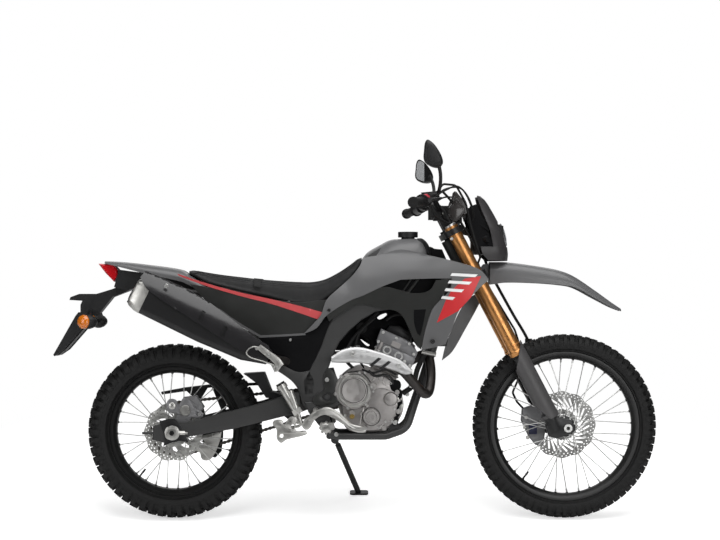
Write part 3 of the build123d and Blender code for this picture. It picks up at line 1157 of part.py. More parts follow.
MIDDLE_FRONT = Vector(0, ((FOOT_OUT + 2) - (FOOT_OUT + 8)) / 2, 0)
MIDDLE_REAR = Vector(0, ((ARM_Y + 12) - (ARM_Y + 9)) / 2, 0)
PLACES = dict(front_axle=FRONT_AXLE + MIDDLE_FRONT, rear_axle=REAR_AXLE + MIDDLE_REAR,
              steering=STEER_FOOT + UP * 740, stand=STAND_PIVOT, stand_foot=STAND_TIP, cap=CAP,
              plate_left=PLATE_HOLE + Vector(0, PLATE_HOLE_Y, 0) - PLATE_NORMAL * (PLATE_T / 2),
              plate_right=PLATE_HOLE - Vector(0, PLATE_HOLE_Y, 0) - PLATE_NORMAL * (PLATE_T / 2),
              bar=BAR_CENTRE, rider=Vector(-330, 0, 883), neck=Vector(CAP.X, 0, 1006))
AXES = dict(across=(0, 1, 0), steering=UP, stand=STAND_AXIS, cap=(0, 0, 1), plate=PLATE_NORMAL)
LENGTHS = dict(front_axle=2 * FOOT_OUT + 10, rear_axle=2 * ARM_Y + 21, plate=PLATE_T,
               stand_travel=STAND_TRAVEL)
for name, point in PLACES.items():
    print("point", name, *parked(point))
for name, direction in AXES.items():
    print("axis", name, *parked(direction, free=0))
for name, length in LENGTHS.items():
    print("length", name, round(length, 3))
print("size", *[round(b - a, 2) for a, b in zip(low, high)])
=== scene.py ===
"""Looks of the dual sport motorcycle, built around its solid parts.

Lengths in the helpers are millimetres of the upright machine: +X forward, +Y to the rider's
left, +Z up, the origin on the ground midway between the axles. PARK turns them into the frame's
own metres, where the machine leans on its side stand.
"""
import json
from math import atan2, cos, pi, radians, sin

import bmesh
import bpy
from mathutils import Matrix, Vector
from mathutils.geometry import delaunay_2d_cdt

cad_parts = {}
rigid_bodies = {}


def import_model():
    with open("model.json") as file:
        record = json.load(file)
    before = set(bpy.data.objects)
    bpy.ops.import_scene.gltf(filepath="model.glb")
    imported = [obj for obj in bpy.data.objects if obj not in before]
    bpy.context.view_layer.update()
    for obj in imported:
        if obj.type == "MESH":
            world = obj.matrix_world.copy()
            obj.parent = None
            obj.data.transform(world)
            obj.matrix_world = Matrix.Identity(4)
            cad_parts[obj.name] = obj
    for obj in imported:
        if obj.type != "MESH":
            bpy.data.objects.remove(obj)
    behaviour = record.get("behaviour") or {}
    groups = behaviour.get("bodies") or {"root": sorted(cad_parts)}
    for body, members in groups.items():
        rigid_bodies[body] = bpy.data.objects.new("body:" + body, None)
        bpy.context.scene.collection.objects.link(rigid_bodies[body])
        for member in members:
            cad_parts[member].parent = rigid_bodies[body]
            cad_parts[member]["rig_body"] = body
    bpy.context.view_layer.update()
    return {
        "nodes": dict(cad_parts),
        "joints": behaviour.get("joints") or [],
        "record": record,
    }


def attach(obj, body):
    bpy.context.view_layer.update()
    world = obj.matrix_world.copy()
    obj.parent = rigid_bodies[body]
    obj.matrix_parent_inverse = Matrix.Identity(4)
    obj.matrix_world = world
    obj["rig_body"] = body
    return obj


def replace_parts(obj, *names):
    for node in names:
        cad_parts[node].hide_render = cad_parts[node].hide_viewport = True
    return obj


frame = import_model()
NODES = frame["nodes"]
JOINTS = {joint["name"]: joint for joint in frame["joints"]}

# ------------------------------------------------------------------ the upright machine's frame

LEAN = radians(11)
WHEELBASE = 1455.0
FRONT_R, REAR_R = 344.0, 326.0
FRONT_AXLE = Vector((WHEELBASE / 2, 0, FRONT_R))
REAR_AXLE = Vector((-WHEELBASE / 2, 0, REAR_R))
RAKE = radians(27.5)
UP = Vector((-sin(RAKE), 0, cos(RAKE)))
AHEAD = Vector((cos(RAKE), 0, sin(RAKE)))
FORK_FOOT = FRONT_AXLE - AHEAD * 38
FORK_Y = 100.0
AXLE_MIDDLE = FRONT_AXLE + Vector((0, -3, 0))

TILT = Matrix.Rotation(-LEAN, 4, "X")
SCALE = Matrix.Scale(0.001, 4)
front_joint = Vector(JOINTS["front_wheel_spin"]["pos_m"])
PARK = Matrix.Translation(front_joint - (SCALE @ TILT @ AXLE_MIDDLE)) @ SCALE @ TILT


def place(x, y, z):
    """A point of the upright machine in the frame's metres."""
    return PARK @ Vector((x, y, z))


# ------------------------------------------------------------------ node helpers


def fresh(name, color, roughness, metallic=0.0, specular=0.5, coat=0.0, coat_roughness=0.03):
    """A new material with its Principled shader: returns material, tree, shader."""
    material = bpy.data.materials.new(name)
    material.use_nodes = True
    tree = material.node_tree
    shader = tree.nodes["Principled BSDF"]
    for key, value in (("Base Color", (*color, 1)), ("Roughness", roughness), ("Metallic", metallic),
                       ("Specular IOR Level", specular), ("Coat Weight", coat),
                       ("Coat Roughness", coat_roughness)):
        shader.inputs[key].default_value = value
    return material, tree, shader


def node(tree, kind, *first, **values):
    """Adds a node. First come its inputs in order, then inputs and properties by name; an output
    given as an input is linked to it."""
    made = tree.nodes.new(kind)
    for key, value in list(enumerate(first)) + list(values.items()):
        if isinstance(key, str) and key not in made.inputs:
            setattr(made, key, value)
        elif isinstance(value, bpy.types.NodeSocket):
            tree.links.new(value, made.inputs[key])
        else:
            made.inputs[key].default_value = value
    return made


def coordinates(tree):
    return node(tree, "ShaderNodeTexCoord").outputs["Object"]


def noise(tree, scale, detail=3.0, roughness=0.5):
    return node(tree, "ShaderNodeTexNoise", coordinates(tree), Scale=scale, Detail=detail,
                Roughness=roughness).outputs["Fac"]


def ramp(tree, factor, low, high, at_low=0.3, at_high=0.7):
    """Maps a factor onto a colour ramp between two colours or greys."""
    made = node(tree, "ShaderNodeValToRGB", factor)
    first, last = made.color_ramp.elements
    first.position, last.position = at_low, at_high
    first.color = (*low, 1) if hasattr(low, "__len__") else (low, low, low, 1)
    last.color = (*high, 1) if hasattr(high, "__len__") else (high, high, high, 1)
    return made.outputs["Color"]


def bump(tree, shader, height, strength, distance=0.001):
    made = node(tree, "ShaderNodeBump", Height=height, Strength=strength, Distance=distance)
    tree.links.new(made.outputs["Normal"], shader.inputs["Normal"])


def vary(tree, shader, color, spread, scale):
    """Slight uneven tone in the base colour."""
    low = [c * (1 - spread) for c in color]
    high = [min(1.0, c * (1 + spread)) for c in color]
    tree.links.new(ramp(tree, noise(tree, scale), low, high), shader.inputs["Base Color"])


def vary_roughness(tree, shader, low, high, scale):
    tree.links.new(ramp(tree, noise(tree, scale, 4), low, high), shader.inputs["Roughness"])


# ------------------------------------------------------------------ materials


def plastic(name, color, roughness, grain=0.0, grain_scale=900.0, coat=0.0, specular=0.35):
    """Moulded plastic: a little tone and gloss variation, and a fine grain where it is matt."""
    material, tree, shader = fresh(name, color, roughness, 0.0, specular, coat, 0.2)
    vary(tree, shader, color, 0.05, 6)
    vary_roughness(tree, shader, roughness * 0.9, min(1.0, roughness * 1.12), 30)
    if grain:
        bump(tree, shader, noise(tree, grain_scale, 2), grain, 0.0004)
    return material


def metal(name, color, roughness, grain=0.0, grain_scale=300.0, spread=0.06):
    """Bare or plated metal with uneven polish."""
    material, tree, shader = fresh(name, color, roughness, 0.9)
    vary(tree, shader, color, spread, 25)
    vary_roughness(tree, shader, roughness * 0.75, min(1.0, roughness * 1.25), 60)
    if grain:
        bump(tree, shader, noise(tree, grain_scale, 3), grain, 0.0006)
    return material


def paint(name, color, roughness):
    """Satin paint over metal with faint orange peel."""
    material, tree, shader = fresh(name, color, roughness, 0.0, 0.35, 0.1, 0.25)
    vary(tree, shader, color, 0.08, 12)
    bump(tree, shader, noise(tree, 260, 2), 0.08, 0.0004)
    return material


def rubber(name, color, roughness, grain=0.3, scale=500.0):
    material, tree, shader = fresh(name, color, roughness, specular=0.3)
    vary(tree, shader, color, 0.2, 18)
    vary_roughness(tree, shader, roughness * 0.9, min(1.0, roughness * 1.1), 50)
    bump(tree, shader, noise(tree, scale, 4), grain, 0.0004)
    return material


def lens(name, color, roughness=0.08, transmission=0.5):
    """Clear or tinted moulded lens with prism ribs beneath its face."""
    material, tree, shader = fresh(name, color, roughness, coat=0.6)
    shader.inputs["Transmission Weight"].default_value = transmission
    shader.inputs["IOR"].default_value = 1.49
    ribs = node(tree, "ShaderNodeTexVoronoi", coordinates(tree), Scale=140.0)
    bump(tree, shader, ribs.outputs["Distance"], 0.35, 0.0012)
    return material


def vinyl(name, color):
    """Seat cover: leather grain from cells, with soft tone changes."""
    material, tree, shader = fresh(name, color, 0.58, specular=0.35)
    cells = node(tree, "ShaderNodeTexVoronoi", coordinates(tree), Scale=420.0, feature="DISTANCE_TO_EDGE")
    vary(tree, shader, color, 0.18, 10)
    vary_roughness(tree, shader, 0.5, 0.68, 40)
    bump(tree, shader, cells.outputs["Distance"], 0.45, 0.0006)
    return material


PALETTE = {
    "black_paint": paint("black_paint", (0.009, 0.009, 0.0095), 0.42),
    "engine_silver": metal("engine_silver", (0.3, 0.287, 0.28), 0.46, 0.12, 420, 0.1),
    "black_plastic": plastic("black_plastic", (0.005, 0.005, 0.0055), 0.5, 0.2),
    "dark_pipe": metal("dark_pipe", (0.05, 0.046, 0.044), 0.45, 0.1),
    "bright_shield": metal("bright_shield", (0.52, 0.52, 0.52), 0.42, spread=0.03),
    "muffler_grey": plastic("muffler_grey", (0.016, 0.0155, 0.0165), 0.24, coat=0.3),
    "grey_plastic": plastic("grey_plastic", (0.104, 0.104, 0.106), 0.38, 0.0, coat=0.15),
    "dark_plastic": plastic("dark_plastic", (0.016, 0.0165, 0.0155), 0.4, 0.08, coat=0.05),
    "black_metal": paint("black_metal", (0.007, 0.007, 0.0075), 0.4),
    "seat_cover": vinyl("seat_cover", (0.012, 0.012, 0.0125)),
    "red_lens": lens("red_lens", (0.62, 0.01, 0.016), 0.1, 0.3),
    "amber_lens": lens("amber_lens", (0.75, 0.2, 0.01), 0.1, 0.3),
    "zinc_steel": metal("zinc_steel", (0.55, 0.55, 0.54), 0.36, 0.1),
    "chain_steel": metal("chain_steel", (0.12, 0.11, 0.1), 0.42, 0.1),
    "gold_anodised": metal("gold_anodised", (0.52, 0.245, 0.085), 0.36, spread=0.04),
    "clear_lens": lens("clear_lens", (0.3, 0.31, 0.33), 0.08, 0.4),
    "smoked_lens": plastic("smoked_lens", (0.03, 0.027, 0.026), 0.2, coat=0.3),
    "grip_rubber": rubber("grip_rubber", (0.005, 0.005, 0.005), 0.7),
    "tyre_rubber": rubber("tyre_rubber", (0.0045, 0.0045, 0.0045), 0.62, 0.3, 380),
    "rim_black": paint("rim_black", (0.007, 0.007, 0.007), 0.32),
    "disc_steel": metal("disc_steel", (0.5, 0.5, 0.48), 0.4, 0.1),
}
# Printed and moulded-in colours, with the slot each belongs to; some carry painted light and shade: the
# mirror's painted reflection, the stripe's painted sheen, a shaded copy of the disc steel and a dead black
# for shade
PRINTS = {
    "white_print": (paint("white_print", (0.75, 0.75, 0.75), 0.35), "grey_plastic"),
    "red_print": (paint("red_print", (0.5, 0.024, 0.028), 0.36), "grey_plastic"),
    "cowl_grey": (plastic("cowl_grey", (0.032, 0.03, 0.031), 0.4, coat=0.1), "grey_plastic"),
    "guard_grey": (plastic("guard_grey", (0.062, 0.06, 0.061), 0.45), "grey_plastic"),
    # Mirror glass as a flat pale grey: a painted reflection of the bright room, not a mirror finish
    "mirror_reflection_grey": (plastic("mirror_reflection_grey", (0.4, 0.41, 0.42), 0.12), "black_plastic"),
    "brass_bolt": (metal("brass_bolt", (0.42, 0.3, 0.1), 0.35), "engine_silver"),
    "cast_grey": (metal("cast_grey", (0.2, 0.2, 0.205), 0.5, 0.15), "engine_silver"),
    "light_alloy": (metal("light_alloy", (0.46, 0.455, 0.435), 0.36, 0.1), "zinc_steel"),
    # Stripe red, painted paler all along for the sheen the stripe shows: red print with a painted sheen
    "sheen_red": (paint("sheen_red", (0.45, 0.06, 0.064), 0.38), "dark_plastic"),
    "switch_red": (plastic("switch_red", (0.5, 0.03, 0.05), 0.35), "black_plastic"),
    "frame_grey": (paint("frame_grey", (0.032, 0.032, 0.032), 0.45), "black_paint"),
    "machined": (metal("machined", (0.4, 0.385, 0.375), 0.38, 0.06, 420), "engine_silver"),
    # Dead black with almost no gloss: painted shade for openings, hollows and the dark spaces behind parts,
    # over the black mouldings that some of them show
    "black_and_shade": (plastic("black_and_shade", (0.004, 0.004, 0.0045), 0.6, specular=0.07), "black_plastic"),
    # Darker copy of the disc steel for the front rotor on the far side: painted shade
    "shaded_disc_steel": (metal("shaded_disc_steel", (0.21, 0.21, 0.205), 0.34, 0.1), "disc_steel"),
    "blue_cap": (plastic("blue_cap", (0.012, 0.014, 0.045), 0.4), "black_metal"),
}
SLOT_OF = {part["node"]: part["material_slot"] for part in frame["record"]["subparts"]}

# ------------------------------------------------------------------ mesh helpers


def finish_mesh(bm, name, slot, body, smooth=35.0, parked=True):
    """Turns a bmesh, drawn upright in millimetres, into a piece that rides on a body."""
    bmesh.ops.recalc_face_normals(bm, faces=bm.faces)
    mesh = bpy.data.meshes.new(name)
    bm.to_mesh(mesh)
    bm.free()
    if parked:
        mesh.transform(PARK)
    mesh.materials.append(PRINTS[slot][0] if slot in PRINTS else PALETTE[slot])
    for polygon in mesh.polygons:
        polygon.use_smooth = True
    mesh.set_sharp_from_angle(angle=radians(smooth))
    piece = bpy.data.objects.new(name, mesh)
    bpy.context.scene.collection.objects.link(piece)
    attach(piece, body)
    return piece


def body_of(node_name):
    return NODES[node_name]["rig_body"]


def edge_round(piece, width, segments=2, angle=30.0):
    """Rounds a piece's sharp edges, width in millimetres."""
    modifier = piece.modifiers.new("edges", "BEVEL")
    modifier.width = width * 0.001
    modifier.segments = segments
    modifier.limit_method = "ANGLE"
    modifier.angle_limit = radians(angle)
    modifier.harden_normals = True
    return piece


def dress(node_name, width=1.2, slot=None, smooth=30.0):
    """A softened copy of a node: its facets joined, its edges rounded."""
    bm = bmesh.new()
    bm.from_mesh(NODES[node_name].data)
    bmesh.ops.remove_doubles(bm, verts=bm.verts, dist=2e-5)
    bmesh.ops.dissolve_limit(bm, angle_limit=radians(1), verts=bm.verts, edges=bm.edges)
    piece = finish_mesh(bm, node_name + "_skin", slot or SLOT_OF[node_name], body_of(node_name),
                        smooth, parked=False)
    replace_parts(piece, node_name)
    return edge_round(piece, width)


def reshape(piece, change):
    """Moves a piece's vertices by a rule that turns one upright point into another."""
    upright = PARK.inverted()
    for vert in piece.data.vertices:
        vert.co = PARK @ change(upright @ vert.co)


def plain_nodes():
    """Every node starts with its slot's material."""
    for name, thing in NODES.items():
        thing.data.materials.clear()
        thing.data.materials.append(PALETTE[SLOT_OF[name]])
        for polygon in thing.data.polygons:
            polygon.use_smooth = True
        thing.data.set_sharp_from_angle(angle=radians(30))


# ------------------------------------------------------------------ stage, lights, camera

WHITE_FLOOR = 0.86
SKY_STRENGTH = 0.55
FLOOR_LIFT = 0.56          # light added to the floor for the camera alone
FLOOR_FADE = (0.9, 1.9)    # metres from the middle over which the floor turns white


def stage():
    """Pale floor and backdrop that read white to the camera and keep the shadow."""
    bpy.ops.mesh.primitive_plane_add(size=60, location=(0, 0, 0))
    floor = bpy.context.object
    floor.name = "floor"
    material, tree, shader = fresh("floor_white", (WHITE_FLOOR,) * 3, 0.9, specular=0.1)
    away = node(tree, "ShaderNodeVectorMath", coordinates(tree), operation="LENGTH").outputs["Value"]
    fade = node(tree, "ShaderNodeMapRange", away, *FLOOR_FADE).outputs["Result"]
    camera_ray = node(tree, "ShaderNodeLightPath").outputs["Is Camera Ray"]
    seen = node(tree, "ShaderNodeMath", fade, camera_ray, operation="MULTIPLY").outputs["Value"]
    raised = node(tree, "ShaderNodeMath", camera_ray, FLOOR_LIFT, operation="MULTIPLY").outputs["Value"]
    white = node(tree, "ShaderNodeEmission", Strength=1.0).outputs["Emission"]
    lift = node(tree, "ShaderNodeEmission", Strength=raised).outputs["Emission"]
    both = node(tree, "ShaderNodeAddShader", shader.outputs["BSDF"], lift).outputs["Shader"]
    mix = node(tree, "ShaderNodeMixShader", seen, both, white).outputs["Shader"]
    tree.links.new(mix, tree.nodes["Material Output"].inputs["Surface"])
    floor.data.materials.append(material)


def sky():
    """Soft even light that the camera sees as white."""
    world = bpy.data.worlds.new("studio")
    bpy.context.scene.world = world
    world.use_nodes = True
    tree = world.node_tree
    light = tree.nodes["Background"]
    light.inputs["Strength"].default_value = SKY_STRENGTH
    seen = node(tree, "ShaderNodeBackground", (1, 1, 1, 1), 1.0)
    camera_ray = node(tree, "ShaderNodeLightPath").outputs["Is Camera Ray"]
    mix = node(tree, "ShaderNodeMixShader", camera_ray, light.outputs["Background"],
               seen.outputs["Background"])
    tree.links.new(mix.outputs["Shader"], tree.nodes["World Output"].inputs["Surface"])


def area_light(name, spot, target, size, watts):
    data = bpy.data.lights.new(name, "AREA")
    data.shape = "RECTANGLE"
    data.size, data.size_y = size
    data.energy = watts
    lamp = bpy.data.objects.new(name, data)
    bpy.context.scene.collection.objects.link(lamp)
    lamp.location = spot
    lamp.rotation_euler = (Vector(target) - Vector(spot)).to_track_quat("-Z", "Y").to_euler()


def lights():
    area_light("overhead", (0.3, -0.6, 3.6), (0, 0, 0.4), (4.5, 3.0), 150)
    area_light("front_fill", (1.8, -3.6, 1.8), (0, 0, 0.6), (2.6, 1.8), 55)
    area_light("rear_fill", (-2.6, -2.2, 1.5), (0, 0, 0.6), (1.6, 1.8), 26)
    area_light("far_side", (0.0, 3.4, 2.2), (0, 0, 0.6), (3.5, 1.8), 30)


CAMERA_SPOT = (-44.0, -6500.0, 815.0)
LENS_MM, SENSOR_MM = 86.8, 36.0
IMAGE_WIDTH = 720.0
IMAGE_SHIFT = (2.0, 30.0)      # pixels across and up


def camera():
    """Square on to the upright machine's right side."""
    data = bpy.data.cameras.new("camera")
    data.lens = LENS_MM
    data.sensor_width = SENSOR_MM
    data.shift_x, data.shift_y = (shift / IMAGE_WIDTH for shift in IMAGE_SHIFT)
    view = bpy.data.objects.new("camera", data)
    bpy.context.scene.collection.objects.link(view)
    turned = Matrix(((1, 0, 0), (0, 0, 1), (0, -1, 0))).transposed()
    view.matrix_world = Matrix.Translation(place(*CAMERA_SPOT)) @ (TILT @ turned.to_4x4())
    bpy.context.scene.camera = view


# ------------------------------------------------------------------ round things


def turns(count):
    """Even angles round a circle."""
    return [2 * pi * k / count for k in range(count)]


def tube(bm, rings):
    """A skin over rings of points, closed at both ends."""
    rings = [[bm.verts.new(spot) for spot in ring] for ring in rings]
    for low, high in zip(rings, rings[1:]):
        for k in range(len(low)):
            j = (k + 1) % len(low)
            bm.faces.new((low[k], low[j], high[j], high[k]))
    bm.faces.new(list(reversed(rings[0])))
    bm.faces.new(rings[-1])


def lathe(bm, axle, profile, steps):
    """Turns a closed (y, radius) profile about a wheel's axle."""
    rings = [[bm.verts.new((axle.x + r * cos(a), y, axle.z + r * sin(a))) for y, r in profile]
             for a in turns(steps)]
    for k, here in enumerate(rings):
        there = rings[(k + 1) % steps]
        for i in range(len(profile)):
            j = (i + 1) % len(profile)
            bm.faces.new((here[i], here[j], there[j], there[i]))


def rod(bm, start, end, radius, sides=10, end_radius=None):
    """Capped bar from start to end, tapered if a second radius is given."""
    start, end = Vector(start), Vector(end)
    turn = (end - start).to_track_quat("Z", "Y").to_matrix()
    tip = radius if end_radius is None else end_radius
    tube(bm, [[spot + turn @ Vector((r * cos(a), r * sin(a), 0)) for a in turns(sides)]
              for spot, r in ((start, radius), (end, tip))])


def box(bm, low, high, spot=Vector):
    """Box between two corners, upright unless a rule for its points is given."""
    spots = [bm.verts.new(spot((x, y, z))) for x in (low[0], high[0]) for y in (low[1], high[1])
             for z in (low[2], high[2])]
    for face in ((0, 1, 3, 2), (4, 6, 7, 5), (0, 4, 5, 1), (2, 3, 7, 6), (0, 2, 6, 4), (1, 5, 7, 3)):
        bm.faces.new([spots[i] for i in face])


# ------------------------------------------------------------------ tyres

LUG_DRAFT = 0.16            # how much a block narrows per millimetre of height
# Tyre: outer radius, half width, shoulder y, crown drop at the shoulder, lug height, bead radius,
# rim half width, rows of lugs round it
FRONT_TYRE = dict(r=344.0, half=41.0, shoulder=37.0, drop=20.0, lug=9.0, bead=279.0, rim=24.0,
                  rows=72)
REAR_TYRE = dict(r=326.0, half=60.0, shoulder=54.0, drop=28.0, lug=11.0, bead=241.0, rim=31.0,
                 rows=54)


def crown(size, y):
    """Lug-top radius at a distance from the tyre's middle."""
    return size["r"] - size["drop"] * (y / size["shoulder"]) ** 2


def lug(bm, axle, size, section, angle, width):
    """A tread block: its (y, radius) section swept along the tread, narrower at the top."""
    ends = []
    for side in (-1, 1):
        loop = []
        for y, r in section:
            height = r - (crown(size, y) - size["lug"])
            a = angle + side * (width / 2 - max(0.0, height) * LUG_DRAFT) / size["r"]
            loop.append((axle.x + r * cos(a), y, axle.z + r * sin(a)))
        ends.append(loop)
    tube(bm, ends)


def block_section(size, y0, y1):
    """Section of a block between two distances across the tread."""
    sink = size["lug"] + 3
    return [(y0, crown(size, y0) - sink), (y0, crown(size, y0)), (y1, crown(size, y1)),
            (y1, crown(size, y1) - sink)]


def shoulder_section(size, side):
    """Section of a shoulder block, which wraps onto the sidewall."""
    s, h, top = size["shoulder"], size["half"], crown(size, size["shoulder"])
    inner = s * 0.66
    points = [(inner, crown(size, inner) - size["lug"] - 3), (inner, crown(size, inner)), (s, top),
              (h, top - 13), (h - 1.5, top - 24), (h - 9, top - 26)]
    return [(side * y, r) for y, r in points]


def tyre(name, axle, size, body, node_name):
    """Carcass with sidewall ribs, then rows of tread blocks."""
    base = size["lug"]
    s, h, bead, rim = size["shoulder"], size["half"], size["bead"], size["rim"]
    top = crown(size, s) - base
    half = [(0, size["r"] - base), (s * 0.35, crown(size, s * 0.35) - base),
            (s * 0.7, crown(size, s * 0.7) - base), (s, top), (h - 3, top - 10), (h - 2, top - 22),
            (h - 3.2, top - 24), (h - 3, bead + (top - bead) * 0.3), (rim + 5, bead + 6),
            (rim + 5.5, bead + 3), (rim + 2, bead + 0.5), (rim - 3.5, bead + 0.5),
            (rim - 3.5, bead - 10)]
    profile = [(-y, r) for y, r in reversed(half)] + half[1:]
    bm = bmesh.new()
    lathe(bm, axle, profile, 144)
    step = 2 * pi / size["rows"]
    pitch = size["r"] * step
    for k in range(size["rows"]):
        a, wide = k * step, k % 2
        inner = [(-0.34 * s, -0.04 * s), (0.04 * s, 0.34 * s)] if wide else [(-0.2 * s, 0.2 * s)]
        outer = [(-0.6 * s, -0.4 * s), (0.4 * s, 0.6 * s)] if wide else [(-0.6 * s, -0.28 * s),
                                                                         (0.28 * s, 0.6 * s)]
        for y0, y1 in inner:
            lug(bm, axle, size, block_section(size, y0, y1), a, pitch * 0.66)
        for y0, y1 in outer:
            lug(bm, axle, size, block_section(size, y0, y1), a + step * 0.36, pitch * 0.56)
        for side in (-1, 1):
            lug(bm, axle, size, shoulder_section(size, side), a + step * (0.06 if wide else -0.06),
                pitch * (0.66 if wide else 0.56))
    piece = finish_mesh(bm, name, "tyre_rubber", body, 40)
    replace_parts(piece, node_name)
    return edge_round(piece, 0.8, 1, 40)


# ------------------------------------------------------------------ laced wheels

# Wheel: rim flange and bead seat radii, inner radius, rim half width, spokes, hub steps (y, radius)
FRONT_WHEEL = dict(flange=279.0, seat=267.5, inner=251.0, rim=24.0, spokes=36,
                   hub=[(-48, 17), (-47, 26), (-37, 27), (-36, 38), (-31, 38), (-29, 26), (-12, 21),
                        (12, 21), (28, 26), (31, 38), (36, 38), (37, 34), (61.5, 34), (61.5, 17)])
REAR_WHEEL = dict(flange=241.0, seat=229.5, inner=216.5, rim=31.0, spokes=32,
                  hub=[(-67.5, 17), (-67.5, 40), (-54, 40), (-50, 27), (-38, 28), (-36, 39), (-31, 39),
                       (-28, 27), (-12, 23), (12, 23), (28, 27), (31, 39), (36, 39), (38, 30),
                       (50, 44), (67.7, 44), (67.7, 17)])
HUB_BORE = 11.0
SPOKE_R, NIPPLE_R = 1.7, 3.2


def spoke_angles(size):
    return [2 * pi * (k + 0.25) / size["spokes"] for k in range(size["spokes"])]


def rim(name, axle, size, body):
    y, flange, seat, inner = size["rim"], size["flange"], size["seat"], size["inner"]
    half = [(0, inner), (y * 0.3, inner), (y * 0.62, inner + 4), (y - 1, inner + 13), (y, inner + 20),
            (y, flange - 1), (y - 1.4, flange), (y - 3, flange - 1.5), (y - 3, seat), (y - 10, seat),
            (y - 14, seat - 8), (0, seat - 8)]
    profile = [(-a, b) for a, b in reversed(half[1:-1])] + half
    bm = bmesh.new()
    lathe(bm, axle, profile, 144)
    for k, a in enumerate(spoke_angles(size)):
        side = 1 if k % 2 else -1
        foot = axle + Vector(((inner + 2) * cos(a), side * 6, (inner + 2) * sin(a)))
        rod(bm, foot, foot - Vector((5 * cos(a), side * 0.6, 5 * sin(a))), 5.2, 10, 4.2)
    return finish_mesh(bm, name, "rim_black", body, 30)


def lacing(name, axle, size, body):
    """Spokes crossing in pairs from the hub flanges to the rim, each with its nipple."""
    bm = bmesh.new()
    inner = size["inner"]
    for k, a in enumerate(spoke_angles(size)):
        side = 1 if k % 2 else -1
        lead = 1 if (k // 2) % 2 else -1
        b = a - lead * radians(46)
        tip = axle + Vector(((inner - 2) * cos(a), side * 6.4, (inner - 2) * sin(a)))
        foot = axle + Vector((34 * cos(b), side * (33.5 + 2.6 * lead), 34 * sin(b)))
        run = (tip - foot).normalized()
        rod(bm, foot, tip, SPOKE_R, 8)
        rod(bm, tip - run * 12, tip, NIPPLE_R, 6)
        rod(bm, foot + Vector((0, side * 1.0, 0)), foot - Vector((0, side * 3.0, 0)), 3.0, 8)
    return finish_mesh(bm, name, "zinc_steel", body, 40)


def hub(name, axle, size, body):
    bm = bmesh.new()
    steps = size["hub"]
    lathe(bm, axle, steps + [(steps[-1][0], HUB_BORE), (steps[0][0], HUB_BORE)], 48)
    piece = finish_mesh(bm, name, "black_metal", body, 35)
    return edge_round(piece, 0.8, 1)


def valve(axle, size, angle, body, name):
    """Tyre valve standing in from the rim."""
    bm = bmesh.new()
    out = Vector((cos(angle), 0, sin(angle)))
    root = axle + out * size["inner"]
    rod(bm, root, root - out * 22, 3.4, 10)
    rod(bm, root - out * 18, root - out * 34, 4.0, 10, 3.4)
    finish_mesh(bm, name, "grip_rubber", body)


def wheel(end, axle, size, body, node_name):
    hoop = rim(end + "_rim_hoop", axle, size, body)
    hub(end + "_hub", axle, size, body)
    lacing(end + "_spokes", axle, size, body)
    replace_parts(hoop, node_name)
    valve(axle, size, radians(232), body, end + "_valve")


# ------------------------------------------------------------------ flat plates with holes


def plate(name, loops, start, thickness, slot, body, round_edge=0.4):
    """A filled plate from closed (x, z) loops, outer first, holes after, start at y and going
    towards +Y."""
    curve = bpy.data.curves.new(name, "CURVE")
    curve.dimensions = "2D"
    curve.fill_mode = "BOTH"
    curve.extrude = thickness / 2 - round_edge
    curve.bevel_depth = round_edge
    curve.bevel_resolution = 1
    curve.offset = -round_edge
    for loop in loops:
        spline = curve.splines.new("POLY")
        spline.points.add(len(loop) - 1)
        for point, (a, b) in zip(spline.points, loop):
            point.co = (a, b, 0, 1)
        spline.use_cyclic_u = True
    drawn = bpy.data.objects.new(name, curve)
    bpy.context.scene.collection.objects.link(drawn)
    bpy.context.view_layer.update()
    mesh = bpy.data.meshes.new_from_object(drawn)
    bpy.data.objects.remove(drawn)
    stand = Matrix(((1, 0, 0, 0), (0, 0, -1, start + thickness / 2), (0, 1, 0, 0), (0, 0, 0, 1)))
    mesh.transform(stand)
    bm = bmesh.new()
    bm.from_mesh(mesh)
    bpy.data.meshes.remove(mesh)
    bmesh.ops.remove_doubles(bm, verts=bm.verts, dist=0.01)
    return finish_mesh(bm, name, slot, body, 40)


def pierced(name, loops, start, thickness, slot, body):
    """A flat disc with many holes, from closed (x, z) loops: the outer one first."""
    points, faces = [], []
    for loop in loops:
        faces.append(list(range(len(points), len(points) + len(loop))))
        points += [Vector(p) for p in loop]
    found, _, parts, _, _, inside = delaunay_2d_cdt(points, [], faces, 1, 1e-4)
    bm = bmesh.new()
    near = [bm.verts.new((p.x, start, p.y)) for p in found]
    far = [bm.verts.new((p.x, start + thickness, p.y)) for p in found]
    sides = {}
    for part, owners in zip(parts, inside):
        if list(owners) != [0]:
            continue
        bm.faces.new([near[k] for k in part])
        bm.faces.new([far[k] for k in reversed(part)])
        for a, b in zip(part, part[1:] + part[:1]):
            if (b, a) in sides:
                del sides[(b, a)]
            else:
                sides[(a, b)] = True
    for a, b in sides:
        bm.faces.new((near[b], near[a], far[a], far[b]))
    bmesh.ops.recalc_face_normals(bm, faces=bm.faces)
    return finish_mesh(bm, name, slot, body, 40)


def around(centre, radius, angle):
    return centre[0] + radius * cos(angle), centre[1] + radius * sin(angle)


def circle(centre, radius, count=20):
    return [around(centre, radius, a) for a in turns(count)]


def swirl_slot(centre, inner, outer, angle, lean, width):
    """A slanted slot between two radii: a rounded strip."""
    a, b = around(centre, inner, angle), around(centre, outer, angle + lean)
    along = Vector((b[0] - a[0], b[1] - a[1]))
    square = Vector((-along.y, along.x)).normalized() * width / 2
    cap = along.normalized() * width * 0.35
    a, b = Vector(a), Vector(b)
    return [tuple(p) for p in (b - square, b + cap, b + square, a + square, a - cap, a - square)]


